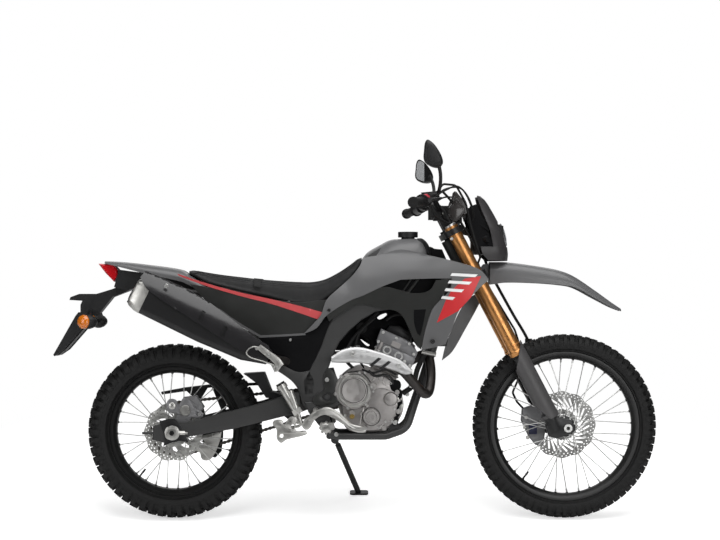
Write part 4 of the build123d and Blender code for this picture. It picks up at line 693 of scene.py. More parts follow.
def brake_disc(name, axle, y, thickness, radius, waves, body, slot_inner, node_name, slot):
    """Waved rotor: two rows of small holes in the band, slanted arms inside it."""
    centre = (axle.x, axle.z)
    loops = [[around(centre, radius - 2.6 + 2.6 * cos(waves * a), a) for a in turns(240)]]
    holes = waves * 4
    for a in turns(holes):
        loops.append(circle(around(centre, radius - 8, a), 2.7, 10))
        loops.append(circle(around(centre, radius - 16.5, a + pi / holes), 2.7, 10))
    arms = waves * 2 + 4
    for a in turns(arms):
        loops.append(swirl_slot(centre, slot_inner + 8, radius - 25, a, radians(36),
                                2 * pi * slot_inner / arms * 0.62))
    loops.append(circle(centre, slot_inner - 12, 40))
    piece = pierced(name, loops, y, thickness, slot, body)
    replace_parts(piece, node_name)
    bm = bmesh.new()
    for x, z in circle(centre, slot_inner - 4, 6):
        rod(bm, (x, y - 2, z), (x, y + thickness + 2, z), 6.5, 6)
    finish_mesh(bm, name + "_bolts", "zinc_steel", body)


# ------------------------------------------------------------------ sprockets and chain

CHAIN_Y = 72.0
CHAIN_LINKS = 106
REAR_SPROCKET_R, FRONT_SPROCKET_R = 101.2, 36.0
OUTPUT_SHAFT = Vector((-88, 0, 458))


def teeth(centre, pitch_radius, count, depth):
    """Outline of a sprocket: rounded valleys between short teeth."""
    return [around(centre, pitch_radius - depth * 0.5 + depth * cos(count * a), a)
            for a in turns(count * 6)]


def rear_sprocket():
    centre = (REAR_AXLE.x, REAR_AXLE.z)
    loops = [teeth(centre, REAR_SPROCKET_R - 5, 40, 2.6)]
    for a in turns(10):
        loops.append(swirl_slot(centre, 56, 82, a, radians(14), 16))
    loops.append(circle(centre, 30, 36))
    piece = pierced("rear_sprocket_plate", loops, CHAIN_Y - 3.2, 6.4, "disc_steel", "rear_wheel")
    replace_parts(piece, "rear_sprocket")


def belt_points(count):
    """Even steps along the chain's pitch line: round the back, along below, round the front, back."""
    big, small = Vector((REAR_AXLE.x, REAR_AXLE.z)), Vector((OUTPUT_SHAFT.x, OUTPUT_SHAFT.z))
    run = small - big
    taper = REAR_SPROCKET_R - FRONT_SPROCKET_R
    straight = (run.length ** 2 - taper ** 2) ** 0.5
    base, opening = atan2(run.y, run.x), atan2(straight, taper)
    top, low = base + opening, base - opening
    lengths = (REAR_SPROCKET_R * (2 * pi - 2 * opening), straight, FRONT_SPROCKET_R * 2 * opening,
               straight)

    def at_back(angle):
        return Vector(around(big, REAR_SPROCKET_R, angle))

    def at_front(angle):
        return Vector(around(small, FRONT_SPROCKET_R, angle))
    found = []
    for k in range(count):
        s, stretch = sum(lengths) * k / count, 0
        while s >= lengths[stretch]:
            s -= lengths[stretch]
            stretch += 1
        found.append((at_back(top + s / REAR_SPROCKET_R), at_back(low).lerp(at_front(low), s / straight),
                      at_front(low + s / FRONT_SPROCKET_R),
                      at_front(top).lerp(at_back(top), s / straight))[stretch])
    return found


def side_plate(bm, a, b, y, thickness, half):
    """One waisted chain side plate between two pins."""
    a, b = Vector(a), Vector(b)
    along = (b - a).normalized()
    square = Vector((-along.y, along.x))
    outline = []
    for centre, turn in ((b, 0), (a, pi)):
        for k in range(5):
            t = -pi / 2 + pi * k / 4 + turn
            outline.append(centre + along * cos(t) * half + square * sin(t) * half)
        outline.append((a + b) / 2 + square * (half * 0.62) * (1 if turn == 0 else -1))
    tube(bm, [[(p.x, y + s * thickness / 2, p.y) for p in outline] for s in (-1, 1)])


def chain():
    """Roller chain: alternate inner and outer plates, with pins and rollers."""
    spots = belt_points(CHAIN_LINKS)
    bm = bmesh.new()
    for k, spot in enumerate(spots):
        after = spots[(k + 1) % CHAIN_LINKS]
        offset = 6.6 if k % 2 else 4.6
        for side in (-1, 1):
            side_plate(bm, spot, after, CHAIN_Y + side * offset, 1.7, 6.4)
        rod(bm, (spot.x, CHAIN_Y - 8, spot.y), (spot.x, CHAIN_Y + 8, spot.y), 2.5, 8)
        rod(bm, (spot.x, CHAIN_Y - 3.6, spot.y), (spot.x, CHAIN_Y + 3.6, spot.y), 4.9, 8)
    piece = finish_mesh(bm, "chain_links", "chain_steel", "chassis", 40)
    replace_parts(piece, "chain")


# ------------------------------------------------------------------ smooth skins


def hermite(a, b, slope_a, slope_b, t):
    """Cubic between two values with given end slopes."""
    t2, t3 = t * t, t * t * t
    return (a * (2 * t3 - 3 * t2 + 1) + slope_a * (t3 - 2 * t2 + t) + b * (3 * t2 - 2 * t3) +
            slope_b * (t3 - t2))


def smooth_line(points, step=10.0, closed=True):
    """A smooth line through points; a point with a third value is kept as a corner."""
    spots = [Vector(p[:2]) for p in points]
    sharp = [len(p) > 2 for p in points]
    count = len(spots)
    found = []
    for k in range(count if closed else count - 1):
        a, b = spots[k], spots[(k + 1) % count]
        run = (b - a).length
        free_a = sharp[k] or (not closed and k == 0)
        free_b = sharp[(k + 1) % count] or (not closed and k == count - 2)
        slope_a = (b - a) if free_a else (b - spots[k - 1]).normalized() * run
        slope_b = (b - a) if free_b else (spots[(k + 2) % count] - a).normalized() * run
        parts = max(1, int(run / step))
        found += [hermite(a, b, slope_a, slope_b, s / parts) for s in range(parts)]
    return found if closed else found + [spots[-1]]


def traced(outline, step=6.0):
    return [(p.x, p.y) for p in smooth_line(outline, step)]


def smooth_at(knots, value):
    """A smooth curve through (place, value) knots, level beyond its ends."""
    if value <= knots[0][0]:
        return knots[0][1]
    if value >= knots[-1][0]:
        return knots[-1][1]
    for k in range(len(knots) - 1):
        if value <= knots[k + 1][0]:
            break
    slopes = []
    for j in (k, k + 1):
        low, high = max(j - 1, 0), min(j + 1, len(knots) - 1)
        slopes.append((knots[high][1] - knots[low][1]) / (knots[high][0] - knots[low][0]))
    run = knots[k + 1][0] - knots[k][0]
    return hermite(knots[k][1], knots[k + 1][1], slopes[0] * run, slopes[1] * run,
                   (value - knots[k][0]) / run)


def field(rows):
    """Distance across at a side-view point, from rows of (x, [(z, y), ...])."""
    def across(x, z):
        return smooth_at([(row_x, smooth_at(knots, z)) for row_x, knots in rows], x)
    return across


def inside(loop, x, z):
    """Whether a side-view point lies within a closed loop."""
    hit = False
    for k, a in enumerate(loop):
        b = loop[k - 1]
        if (a.y > z) != (b.y > z) and x < (b.x - a.x) * (z - a.y) / (b.y - a.y) + a.x:
            hit = not hit
    return hit


def panel(name, outline, across, wall, slot, body="chassis", holes=(), step=12.0, sides=(-1, 1),
          round_edge=0.8):
    """A moulded skin: a side-view outline laid on a curved surface and given a thickness."""
    loops = [smooth_line(outline, step)] + [smooth_line(hole, step) for hole in holes]
    spots, edges = [], []
    for loop in loops:
        start = len(spots)
        spots += [tuple(p) for p in loop]
        edges += [(start + k, start + (k + 1) % len(loop)) for k in range(len(loop))]

    def filled(x, z):
        return inside(loops[0], x, z) and not any(inside(hole, x, z) for hole in loops[1:])
    xs = [p.x for p in loops[0]]
    zs = [p.y for p in loops[0]]
    for i in range(int((max(xs) - min(xs)) / step)):
        for j in range(int((max(zs) - min(zs)) / step)):
            x = min(xs) + step * (i + 0.5 + 0.25 * (j % 2))
            z = min(zs) + step * (j + 0.5)
            near = min((Vector((x, z)) - Vector(p)).length for p in spots[:len(edges)])
            if near > step * 0.5 and filled(x, z):
                spots.append((x, z))
    points, _, faces, _, _, _ = delaunay_2d_cdt([Vector(p) for p in spots], edges, [], 1, 0.01)
    kept = []
    for face in faces:
        middle = sum((points[k] for k in face), Vector((0, 0))) / len(face)
        if filled(*middle):
            kept.append(face)
    rim = {}
    for face in kept:
        for a, b in zip(face, face[1:] + face[:1]):
            rim[(a, b)] = rim.get((a, b), 0) + 1
    border = [pair for pair in rim if (pair[1], pair[0]) not in rim]
    bm = bmesh.new()
    for side in sides:
        skins = [[bm.verts.new((p.x, side * (across(p.x, p.y) - inset), p.y)) for p in points]
                 for inset in (0.0, wall)]
        for face in kept:
            bm.faces.new([skins[0][k] for k in face])
            bm.faces.new([skins[1][k] for k in reversed(face)])
        for a, b in border:
            bm.faces.new((skins[0][b], skins[0][a], skins[1][a], skins[1][b]))
    bmesh.ops.delete(bm, geom=[v for v in bm.verts if not v.link_faces], context="VERTS")
    piece = finish_mesh(bm, name, slot, body, 50)
    return edge_round(piece, round_edge, 2, 50) if round_edge else piece


def skin(name, rows, wall, slot, body="chassis", per_row=6, per_point=5, mirror=True, smooth=50.0,
         round_edge=0.8, cut=None):
    """A shell through rows of (x, y, z) points, smoothed both ways and mirrored over the middle."""
    across = []
    for row in rows:
        half = [Vector(p) for p in row]
        line = [Vector((p.x, -p.y, p.z)) for p in reversed(half[1:])] + half if mirror else half
        across.append(smooth_run(line, per_point))
    lines = [smooth_run(list(line), per_row) for line in zip(*across)]
    grid = list(zip(*lines))
    bm = bmesh.new()
    outer = [[bm.verts.new(p) for p in row] for row in grid]
    for i, (a, b) in enumerate(zip(outer, outer[1:])):
        for k in range(len(a) - 1):
            reach = abs(a[k].co.y + a[k + 1].co.y + b[k].co.y + b[k + 1].co.y) / 4
            if cut and cut[0] * per_row <= i < cut[1] * per_row and reach < cut[2]:
                continue
            bm.faces.new((a[k], a[k + 1], b[k + 1], b[k]))
    piece = finish_mesh(bm, name, slot, body, smooth)
    if wall:
        thick = piece.modifiers.new("wall", "SOLIDIFY")
        thick.thickness = wall * 0.001
        thick.offset = -1
        edge_round(piece, round_edge, 2, 60)
    return piece


def smooth_run(points, parts):
    """A smooth line in space through points, each stretch cut in equal parts."""
    found = []
    for k in range(len(points) - 1):
        a, b = points[k], points[k + 1]
        run = (b - a).length
        before = points[k - 1] if k else a - (b - a)
        after = points[k + 2] if k + 2 < len(points) else b + (b - a)
        slope_a, slope_b = (b - before).normalized() * run, (after - a).normalized() * run
        found += [hermite(a, b, slope_a, slope_b, s / parts) for s in range(parts)]
    return found + [points[-1]]


# ------------------------------------------------------------------ bodywork

# Distance of the shroud's skin from the middle: x, then (z, y) from low to high
SHROUD_ROWS = [(-262, [(600, 125), (760, 127), (810, 122), (900, 112), (1010, 98)]),
               (-100, [(600, 128), (780, 130), (830, 124), (900, 100), (1010, 70)]),
               (-30, [(600, 128), (790, 134), (880, 128), (940, 104), (1010, 66)]),
               (110, [(600, 140), (780, 152), (890, 158), (960, 136), (1010, 90)]),
               (225, [(600, 156), (780, 168), (890, 176), (965, 152), (1010, 100)]),
               (330, [(600, 166), (780, 180), (890, 184), (960, 166), (1010, 152)]),
               (440, [(600, 168), (780, 180), (890, 180), (960, 162), (1010, 152)])]
SHROUD_GREY = [(-26, 972, 1), (29, 980), (109, 1001), (165, 993), (218, 979), (327, 951), (400, 926),
               (433, 890, 1), (298, 893, 1), (218, 893), (112, 889, 1), (50, 866), (-30, 829), (-74, 812),
               (-160, 757), (-196, 712), (-245, 690, 1), (-206, 730), (-180, 760), (-160, 815),
               (-111, 862), (-67, 903), (-37, 942)]
SHROUD_DARK = [(-70, 812, 1), (47, 862), (109, 851), (165, 839), (216, 850), (240, 887, 1), (296, 891, 1),
               (255, 815), (225, 779), (196, 688), (187, 631, 1), (160, 669), (127, 742), (101, 772),
               (36, 785), (-44, 799), (-98, 772), (-150, 736, 1), (-172, 782, 1), (-110, 812)]
SHROUD_TIP = [(300, 920, 1), (404, 920, 1), (432, 889, 1), (392, 852), (326, 779), (297, 706), (275, 653,
                                                                                                1), (188,
                                                                                                     630,
                                                                                                     1),
                                                                                                     (198,
                                                                                                      688),
              (226, 779), (256, 815), (291, 853), (298, 894, 1)]


def shrouds():
    """The tank's side shrouds: grey cover, dark lower half, raised front panel and its graphics."""
    base = field(SHROUD_ROWS)

    def raised(height):
        return lambda x, z: base(x, z) + height
    grey = panel("shroud_cover", SHROUD_GREY, raised(0.6), 5.0, "grey_plastic", round_edge=1.2)
    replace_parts(grey, "tank_shrouds")
    panel("shroud_lower", SHROUD_DARK, raised(-0.4), 5.0, "dark_plastic", round_edge=1.0)
    # Painted shade: a dead-black patch for the shadowed opening in the dark lower shroud
    panel("shroud_recess_shade", [(160, 779, 1), (204, 781, 1), (183, 684), (173, 692), (161, 733)], raised(0.6),
          5.0, "black_and_shade", round_edge=0)
    panel("shroud_panel", SHROUD_TIP, raised(3.6), 7.0, "grey_plastic", round_edge=1.6)
    slash = [(404, 902, 1), (368, 826, 1), (322, 776, 1), (243, 732, 1), (275, 812, 1), (296, 850, 1),
             (344, 893, 1)]
    panel("shroud_slash", slash, raised(4.4), 0.8, "red_print", round_edge=0, step=8.0)
    bars = [[(x, z, 1), (x + run, z - 5, 1), (x + run - 10, z - 15, 1), (x - 6, z - 10, 1)]
            for x, z, run in ((298, 913, 94), (288, 886, 82), (276, 858, 66), (264, 830, 46))]
    for k, stripe in enumerate(bars):
        panel(f"shroud_bar_{k}", stripe, raised(5.0), 0.6, "white_print", round_edge=0, step=8.0)
    for side, end in ((-1, ""), (1, "_left")):
        fasteners("shroud_screws" + end, [(228, side * 176, 664, 9), (-150, side * 132, 778, 6)],
                  "black_metal", axis=(0, side, 0))


# Tank cover: x, then (y, z) from the middle outwards
TANK_ROWS = [(-30, [(0, 966), (32, 963), (50, 945), (60, 905), (66, 866)]),
             (-8, [(0, 993), (34, 989), (64, 966), (82, 915), (88, 862)]),
             (38, [(0, 1020), (38, 1015), (74, 986), (98, 936), (106, 872)]),
             (76, [(0, 1039), (40, 1034), (80, 1002), (106, 948), (114, 880)]),
             (113, [(0, 1042), (44, 1038), (86, 1006), (112, 952), (120, 884)]),
             (180, [(0, 1043), (44, 1038), (84, 1006), (108, 952), (116, 884)]),
             (204, [(0, 1030), (40, 1024), (78, 996), (98, 948), (106, 884)]),
             (213, [(0, 1003), (36, 998), (70, 976), (90, 936), (98, 884)])]
NOSE_ROWS = [(178, [(0, 1046), (30, 1044), (46, 1040)]), (196, [(0, 1045), (34, 1040), (58, 1024)]),
             (214, [(0, 1030), (40, 1022), (76, 994)]), (226, [(0, 1004), (44, 996), (86, 966)]),
             (225, [(0, 980), (48, 974), (92, 940)])]


def rows_of(table):
    return [[(x, y, z) for y, z in half] for x, half in table]


def tank():
    """The tank's grey cover with the black trim ahead of the filler."""
    skin("tank_cover", rows_of(TANK_ROWS), 4.0, "grey_plastic")
    skin("tank_nose", rows_of(NOSE_ROWS), 3.0, "black_plastic")


# Front fender: x, then (y, z) from the crown to the skirt
FENDER_ROWS = [(446, [(0, 957), (26, 954), (46, 936), (54, 905), (56, 872)]),
               (512, [(0, 956), (30, 953), (54, 938), (62, 912), (63, 880)]),
               (619, [(0, 942), (32, 940), (58, 926), (68, 903), (69, 878)]),
               (708, [(0, 925), (32, 923), (58, 911), (69, 892), (70, 871)]),
               (762, [(0, 903), (30, 901), (54, 891), (65, 876), (66, 861)]),
               (838, [(0, 852), (26, 851), (42, 844), (50, 834), (52, 821)]),
               (900, [(0, 808), (20, 807), (32, 803), (37, 796), (38, 788)]),
               (938, [(0, 783), (12, 782), (20, 780), (23, 777), (24, 773)])]
# Tail: x, then (y, z) from the crown to the skirt
TAIL_ROWS = [(-606, [(0, 866), (50, 865), (74, 862), (88, 856), (90, 846)]),
             (-632, [(0, 889), (50, 887), (72, 882), (88, 872), (90, 853)]),
             (-668, [(0, 909), (50, 907), (72, 900), (87, 888), (90, 870)]),
             (-701, [(0, 928), (48, 926), (70, 918), (85, 903), (88, 884)]),
             (-812, [(0, 945), (44, 943), (64, 936), (77, 924), (80, 908)]),
             (-923, [(0, 957), (38, 956), (54, 952), (64, 945), (66, 936)]),
             (-986, [(0, 960), (30, 959), (42, 957), (47, 954), (48, 951)])]


def fender_and_tail():
    fender = skin("front_fender_skin", rows_of(FENDER_ROWS), 3.5, "grey_plastic", "steering")
    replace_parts(fender, "front_fender")
    tail = skin("tail_skin", rows_of(TAIL_ROWS), 3.5, "grey_plastic")
    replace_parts(tail, "tail_cover")


COVER_OUTLINE = [(-663, 874, 1), (-612, 822), (-502, 738), (-404, 680, 1), (-331, 684), (-245, 690, 1),
                 (-150, 770), (-140, 818, 1), (-200, 812), (-262, 806), (-368, 818), (-479, 834), (-607,
                                                                                                   864)]
STRIPE = [(-708, 912, 1), (-704, 905), (-606, 868), (-478, 830), (-368, 802), (-262, 768), (-181, 740, 1),
          (-176, 770, 1), (-262, 794), (-368, 819), (-478, 843), (-600, 876)]
TRIM = [(-560, 778, 1), (-502, 735), (-404, 676, 1), (-331, 680), (-236, 686, 1), (-240, 693, 1), (-331,
                                                                                                   688),
        (-402, 685, 1), (-500, 744), (-556, 784)]
COVER_ROWS = [(-663, [(700, 116), (780, 117), (850, 117), (890, 114)]),
              (-400, [(680, 114), (740, 119), (790, 119), (830, 115)]),
              (-250, [(680, 114), (740, 118), (790, 118), (830, 114)])]


def side_covers():
    """Side panels under the seat and the red stripe along their upper edge."""
    base = field(COVER_ROWS)
    cover = panel("side_cover_skin", COVER_OUTLINE, base, 4.0, "dark_plastic")
    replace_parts(cover, "side_covers")
    panel("side_trim", TRIM, lambda x, z: base(x, z) + 1.0, 3.0, "grey_plastic", round_edge=0.4, step=8.0)
    # The stripe's paler red is red print with a painted sheen
    panel("side_stripe", STRIPE, lambda x, z: base(x, z) + 1.2, 2.0, "sheen_red", round_edge=0.4)


# ------------------------------------------------------------------ turned and bent pieces


def frame_of(axis):
    """Two directions square to an axis."""
    axis = Vector(axis).normalized()
    first = axis.cross(Vector((0, 1, 0)) if abs(axis.y) < 0.9 else Vector((1, 0, 0))).normalized()
    return axis, first, axis.cross(first)


def turned(bm, start, axis, profile, sides=32):
    """A piece turned about an axis: (distance along it, radius) points."""
    axis, u, v = frame_of(axis)
    start = Vector(start)
    rings = []
    for along, radius in profile:
        centre = start + axis * along
        if radius < 0.01:
            rings.append([bm.verts.new(centre)])
            continue
        rings.append([bm.verts.new(centre + (u * cos(a) + v * sin(a)) * radius) for a in turns(sides)])
    for low, high in zip(rings, rings[1:]):
        for k in range(sides):
            j = (k + 1) % sides
            if len(low) == 1 and len(high) == 1:
                break
            if len(low) == 1:
                bm.faces.new((low[0], high[j], high[k]))
            elif len(high) == 1:
                bm.faces.new((low[k], low[j], high[0]))
            else:
                bm.faces.new((low[k], low[j], high[j], high[k]))
    for ring, flip in ((rings[0], True), (rings[-1], False)):
        if len(ring) > 1:
            bm.faces.new(list(reversed(ring)) if flip else ring)


def pipe(bm, points, radius, sides=12, per=6):
    """A round pipe or cable along a smooth line through points."""
    line = smooth_run([Vector(p) for p in points], per)
    _, u, _ = frame_of(line[1] - line[0])
    rings = []
    for k, spot in enumerate(line):
        along = (line[min(k + 1, len(line) - 1)] - line[max(k - 1, 0)]).normalized()
        u = (u - along * u.dot(along)).normalized()
        v = along.cross(u)
        rings.append([spot + (u * cos(a) + v * sin(a)) * radius for a in turns(sides)])
    tube(bm, rings)


def fasteners(name, spots, slot="zinc_steel", body="chassis", axis=(0, -1, 0)):
    """Socket-headed screws: (x, y, z, head radius), standing out along an axis."""
    bm = bmesh.new()
    for x, y, z, r in spots:
        h = r * 0.75
        turned(bm, (x, y, z), axis, [(-2, r), (h * 0.8, r), (h, r * 0.86), (h, r * 0.5), (h * 0.35,
                                                                                          r * 0.45),
                                     (h * 0.35, 0)], 14)
    return finish_mesh(bm, name, slot, body, 40)


# ------------------------------------------------------------------ fork and bars

TUBE_LOW, TUBE_TOP = 314.0, 856.0


def fork():
    """Gold outer tubes with machined steps, seals, top caps and bright inner tubes."""
    gold, dark, bright, caps = bmesh.new(), bmesh.new(), bmesh.new(), bmesh.new()
    for side in (-1, 1):
        foot = FORK_FOOT + Vector((0, side * FORK_Y, 0))
        turned(gold, foot + UP * TUBE_LOW, UP,
               [(8, 22), (8, 27.5), (10, 28.8), (24, 28.8), (26, 27), (36, 26), (44, 26), (45, 27.6), (50,
                                                                                                       27.6),
                (51, 26), (250, 25.6), (300, 25.6), (304, 26), (542, 26), (542, 21)], 48)
        turned(dark, foot + UP * TUBE_LOW, UP, [(0, 22), (0, 27), (2, 28.6), (7, 28.6), (8, 27), (8, 22)],
               40)
        turned(bright, foot + UP * 70, UP, [(0, 21.4), (TUBE_LOW - 66, 21.4)], 40)
        turned(caps, foot + UP * TUBE_TOP, UP, [(0, 21), (6, 21), (8, 19), (8, 9), (5, 8), (5, 0)], 24)
    tubes = finish_mesh(gold, "fork_outer", "gold_anodised", "steering", 40)
    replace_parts(tubes, "fork_tubes")
    finish_mesh(dark, "fork_seals", "grip_rubber", "steering", 40)
    finish_mesh(bright, "fork_inner", "disc_steel", "steering", 40)
    finish_mesh(caps, "fork_caps", "zinc_steel", "steering", 40)


def cables():
    """Cables from the switchgear to behind the mask; all of them turn with the bars."""
    bm = bmesh.new()
    runs = [[(226, -262, 1178), (262, -236, 1206), (322, -196, 1226), (372, -120, 1160), (384, -64, 1090)],
            [(228, -250, 1180), (272, -222, 1216), (332, -180, 1220), (380, -100, 1150), (388, -56, 1084)],
            [(236, 222, 1178), (292, 208, 1212), (352, 168, 1196), (384, 96, 1132), (386, 62, 1086)],
            [(232, 250, 1170), (262, 222, 1150), (300, 150, 1120), (340, 90, 1100), (384, 60, 1076)]]
    for run in runs:
        pipe(bm, run, 3.2, 10, 8)
    finish_mesh(bm, "bar_cables", "grip_rubber", "steering", 60)


# The open edge: distance across at the shell's front, and how fast it moves out going back
MIRROR_FRONT, MIRROR_EDGE, MIRROR_SLANT = 252, 338, 1.5
MIRROR_OUTLINE = [(195, 1374), (214, 1367), (235, 1342), (250, 1312), (252, 1290), (240, 1281), (209, 1284),
                  (187, 1300), (186, 1335)]


def mirrors():
    """Drop-shaped shells; the glass looks back and inward."""
    loop = smooth_line(MIRROR_OUTLINE, 6.0)
    middle = sum(loop, Vector((0, 0))) / len(loop)
    shell, glass, stems = bmesh.new(), bmesh.new(), bmesh.new()
    for side in (-1, 1):
        def cut(x):
            """Distance across of the shell's open edge."""
            return MIRROR_EDGE + (MIRROR_FRONT - x) * MIRROR_SLANT
        rings = []
        for scale, depth in ((0.90, -2), (0.97, 1), (1.0, 5)):
            rings.append([(middle + (p - middle) * scale, cut(p.x) + depth) for p in loop])
        for scale, reach in ((1.0, 440), (0.96, 452), (0.86, 459), (0.6, 462)):
            rings.append([(middle + (p - middle) * scale, max(reach, cut(p.x) + 8)) for p in loop])
        tube(shell, [[(p.x, side * y, p.y) for p, y in ring] for ring in rings])
        flat = [middle + (p - middle) * 0.88 for p in loop]
        tube(glass, [[(p.x, side * (cut(p.x) - depth), p.y) for p in flat] for depth in (2.6, 1.2)])
        pipe(stems, [(241, side * 221, 1185), (248, side * 236, 1208), (252, side * 264, 1236),
                     (250, side * 302, 1268), (240, side * 346, 1304)], 6.5, 14, 8)
        turned(stems, (241, side * 221, 1178), (0.1, 0, 1), [(0, 10), (12, 10), (16, 7), (24, 6)], 16)
    housing = finish_mesh(shell, "mirror_shells", "black_plastic", "steering", 50)
    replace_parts(housing, "mirrors")
    # The mirror glass gets a painted reflection: a flat pale grey
    finish_mesh(glass, "mirror_reflection_grey", "mirror_reflection_grey", "steering", 30)
    finish_mesh(stems, "mirror_stems", "black_metal", "steering", 50)


# ------------------------------------------------------------------ exhaust

MUFFLER_FRONT, MUFFLER_BACK = Vector((-368, -158, 604)), Vector((-846, -158, 838))
MUFFLER_LINE = (MUFFLER_BACK - MUFFLER_FRONT).normalized()
MUFFLER_OVER = Vector((-MUFFLER_LINE.z, 0, MUFFLER_LINE.x)) * -1
MUFFLER_RISE = 0.4895       # height gained per millimetre going back
COVER_REACH = 212           # the cover's outermost distance across


def rounded_box(bm, stations, corner=5):
    """Rounded-rectangle rings along the muffler: (distance, width, height, corner radius)."""
    rings = []
    for along, wide, tall, radius in stations:
        centre = MUFFLER_FRONT + MUFFLER_LINE * along
        ring = []
        for u, v, first in ((1, 1, 0), (-1, 1, 1), (-1, -1, 2), (1, -1, 3)):
            for k in range(corner + 1):
                a = (first + k / corner) * pi / 2
                across = u * (wide / 2 - radius) + radius * cos(a)
                over = v * (tall / 2 - radius) + radius * sin(a)
                ring.append(centre + Vector((0, across, 0)) + MUFFLER_OVER * over)
        rings.append(ring)
    tube(bm, rings)


COVER_LINE = [(-834, 898, 1), (-818, 921, 1), (-764, 899), (-691, 866), (-618, 828), (-546, 779),
              (-473, 723), (-419, 680), (-371, 652, 1), (-360, 628), (-372, 612, 1), (-420, 612),
              (-490, 644), (-580, 702), (-680, 766), (-780, 832), (-818, 866)]
HEADER = [(150, -25, 588), (206, -30, 612), (222, -50, 590), (224, -84, 510), (206, -112, 470),
          (160, -138, 512), (110, -150, 562), (10, -156, 594), (-40, -156, 606), (-84, -136, 610),
          (-112, -98, 609), (-150, -62, 606), (-240, -60, 594), (-300, -96, 588), (-340, -142, 594),
          (-368, -158, 603)]


def exhaust():
    """Muffler body, silver end cap with its outlet, the cover over it, and the header."""
    body, cap, hole = bmesh.new(), bmesh.new(), bmesh.new()
    rounded_box(body, [(0, 50, 54, 20), (90, 84, 104, 24), (260, 92, 124, 26), (500, 92, 124, 26)])
    can = finish_mesh(body, "muffler_body", "black_metal", "chassis", 40)
    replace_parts(can, "muffler")
    edge_round(can, 2.0)
    rounded_box(cap, [(496, 90, 122, 26), (498, 94, 126, 27), (520, 92, 122, 26), (544, 82, 106, 24),
                      (550, 74, 96, 22), (551, 66, 88, 20)])
    finish_mesh(cap, "muffler_end", "light_alloy", "chassis", 30)
    outlet = MUFFLER_FRONT - MUFFLER_OVER * 16
    turned(hole, outlet + MUFFLER_LINE * 544, MUFFLER_LINE,
           [(0, 21), (12, 21), (13, 20), (13, 17), (2, 16), (2, 0)], 28)
    finish_mesh(hole, "muffler_outlet", "black_metal", "chassis", 40)
    fasteners("muffler_end_bolts",
              [tuple(MUFFLER_FRONT + MUFFLER_LINE * 550 + MUFFLER_OVER * v + Vector((0, u, 0))) + (5,)
               for u, v in ((-26, 36), (24, 36), (-26, -40))], "black_metal", axis=MUFFLER_LINE)

    def over(x, z):
        """Distance across of the cover, which rolls inwards above the muffler's middle line."""
        middle = MUFFLER_FRONT.z + (MUFFLER_FRONT.x - x) * MUFFLER_RISE
        rise = max(0.0, (z - middle - 20) / 60)
        return COVER_REACH - 20 * rise * rise
    slots = [[(x, z, 1), (x + 12, z - 7, 1), (x - 4, z - 42, 1), (x - 16, z - 35, 1)]
             for x, z in ((-608, 778), (-528, 722))]
    panel("muffler_cover", COVER_LINE, over, 5.0, "muffler_grey", holes=slots, sides=(-1,), round_edge=1.6)
    fasteners("muffler_cover_bolts", [(-738, -211, 866, 8), (-410, -212, 640, 7)], "zinc_steel")
    header = bmesh.new()
    pipe(header, HEADER, 18, 20, 8)
    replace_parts(finish_mesh(header, "exhaust_pipe", "dark_pipe", "chassis", 60), "exhaust_header")


def heat_shield():
    """Bright shield over the header, its upper edge folded in."""
    stations = [(-141, 610, 588), (-101, 634, 586), (-46, 643, 586), (22, 629, 575), (90, 606, 556),
                (127, 586, 542), (154, 560, 547)]
    rows = [[(x, y, top + (low - top) * share) for y, share in
             ((-166, 0.04), (-182, 0.0), (-189, 0.28), (-190, 0.6), (-186, 0.9), (-176, 1.0))]
            for x, top, low in stations]
    piece = skin("heat_shield_skin", rows, 2.0, "bright_shield", mirror=False, smooth=60, per_row=6,
                 per_point=4, round_edge=0.5)
    slits = bmesh.new()
    for x, z in ((30, 606), (66, 594)):
        corners = [(x, z), (x + 12, z - 4), (x - 22, z - 32), (x - 34, z - 29)]
        tube(slits, [[(a, y, b) for a, b in corners] for y in (-190.6, -186)])
    finish_mesh(slits, "shield_slots", "black_metal", "chassis", 30)
    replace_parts(piece, "heat_shield")
    fasteners("shield_bolts", [(-64, -189, 618, 9), (104, -189, 577, 9)], "zinc_steel")


# ------------------------------------------------------------------ engine

CASE = [(-121, 440), (-112, 405), (-92, 346), (-66, 330), (36, 330), (80, 350), (109, 376), (124, 420),
        (117, 467), (84, 526), (18, 554), (-37, 572), (-100, 540), (-119, 500)]
COVER = [(-104, 440), (-90, 360), (-60, 338), (40, 338), (96, 372), (116, 420), (108, 467), (70, 524),
         (-40, 556), (-96, 520)]
CLUTCH = (-60, 483)
CYLINDER_LEAN = radians(24)
TOP_UP = Vector((sin(CYLINDER_LEAN), 0, cos(CYLINDER_LEAN)))
TOP_AHEAD = Vector((cos(CYLINDER_LEAN), 0, -sin(CYLINDER_LEAN)))
TOP_FOOT = Vector((48, 0, 536))


def top_spot(ahead, y, up):
    """A point by the cylinder's own directions."""
    return TOP_FOOT + TOP_AHEAD * ahead + TOP_UP * up + Vector((0, y, 0))


def top_block(bm, ahead, y, up):
    """A block along the cylinder's directions, each given as (low, high)."""
    box(bm, *zip(ahead, y, up), lambda spot: top_spot(*spot))


def along_loop(loop, count, inset):
    """Evenly spread points just inside a loop."""
    spots = smooth_line(loop, 4.0)
    middle = sum(spots, Vector((0, 0))) / len(spots)
    picked = [spots[int(k * len(spots) / count)] for k in range(count)]
    return [p + (middle - p).normalized() * inset for p in picked]
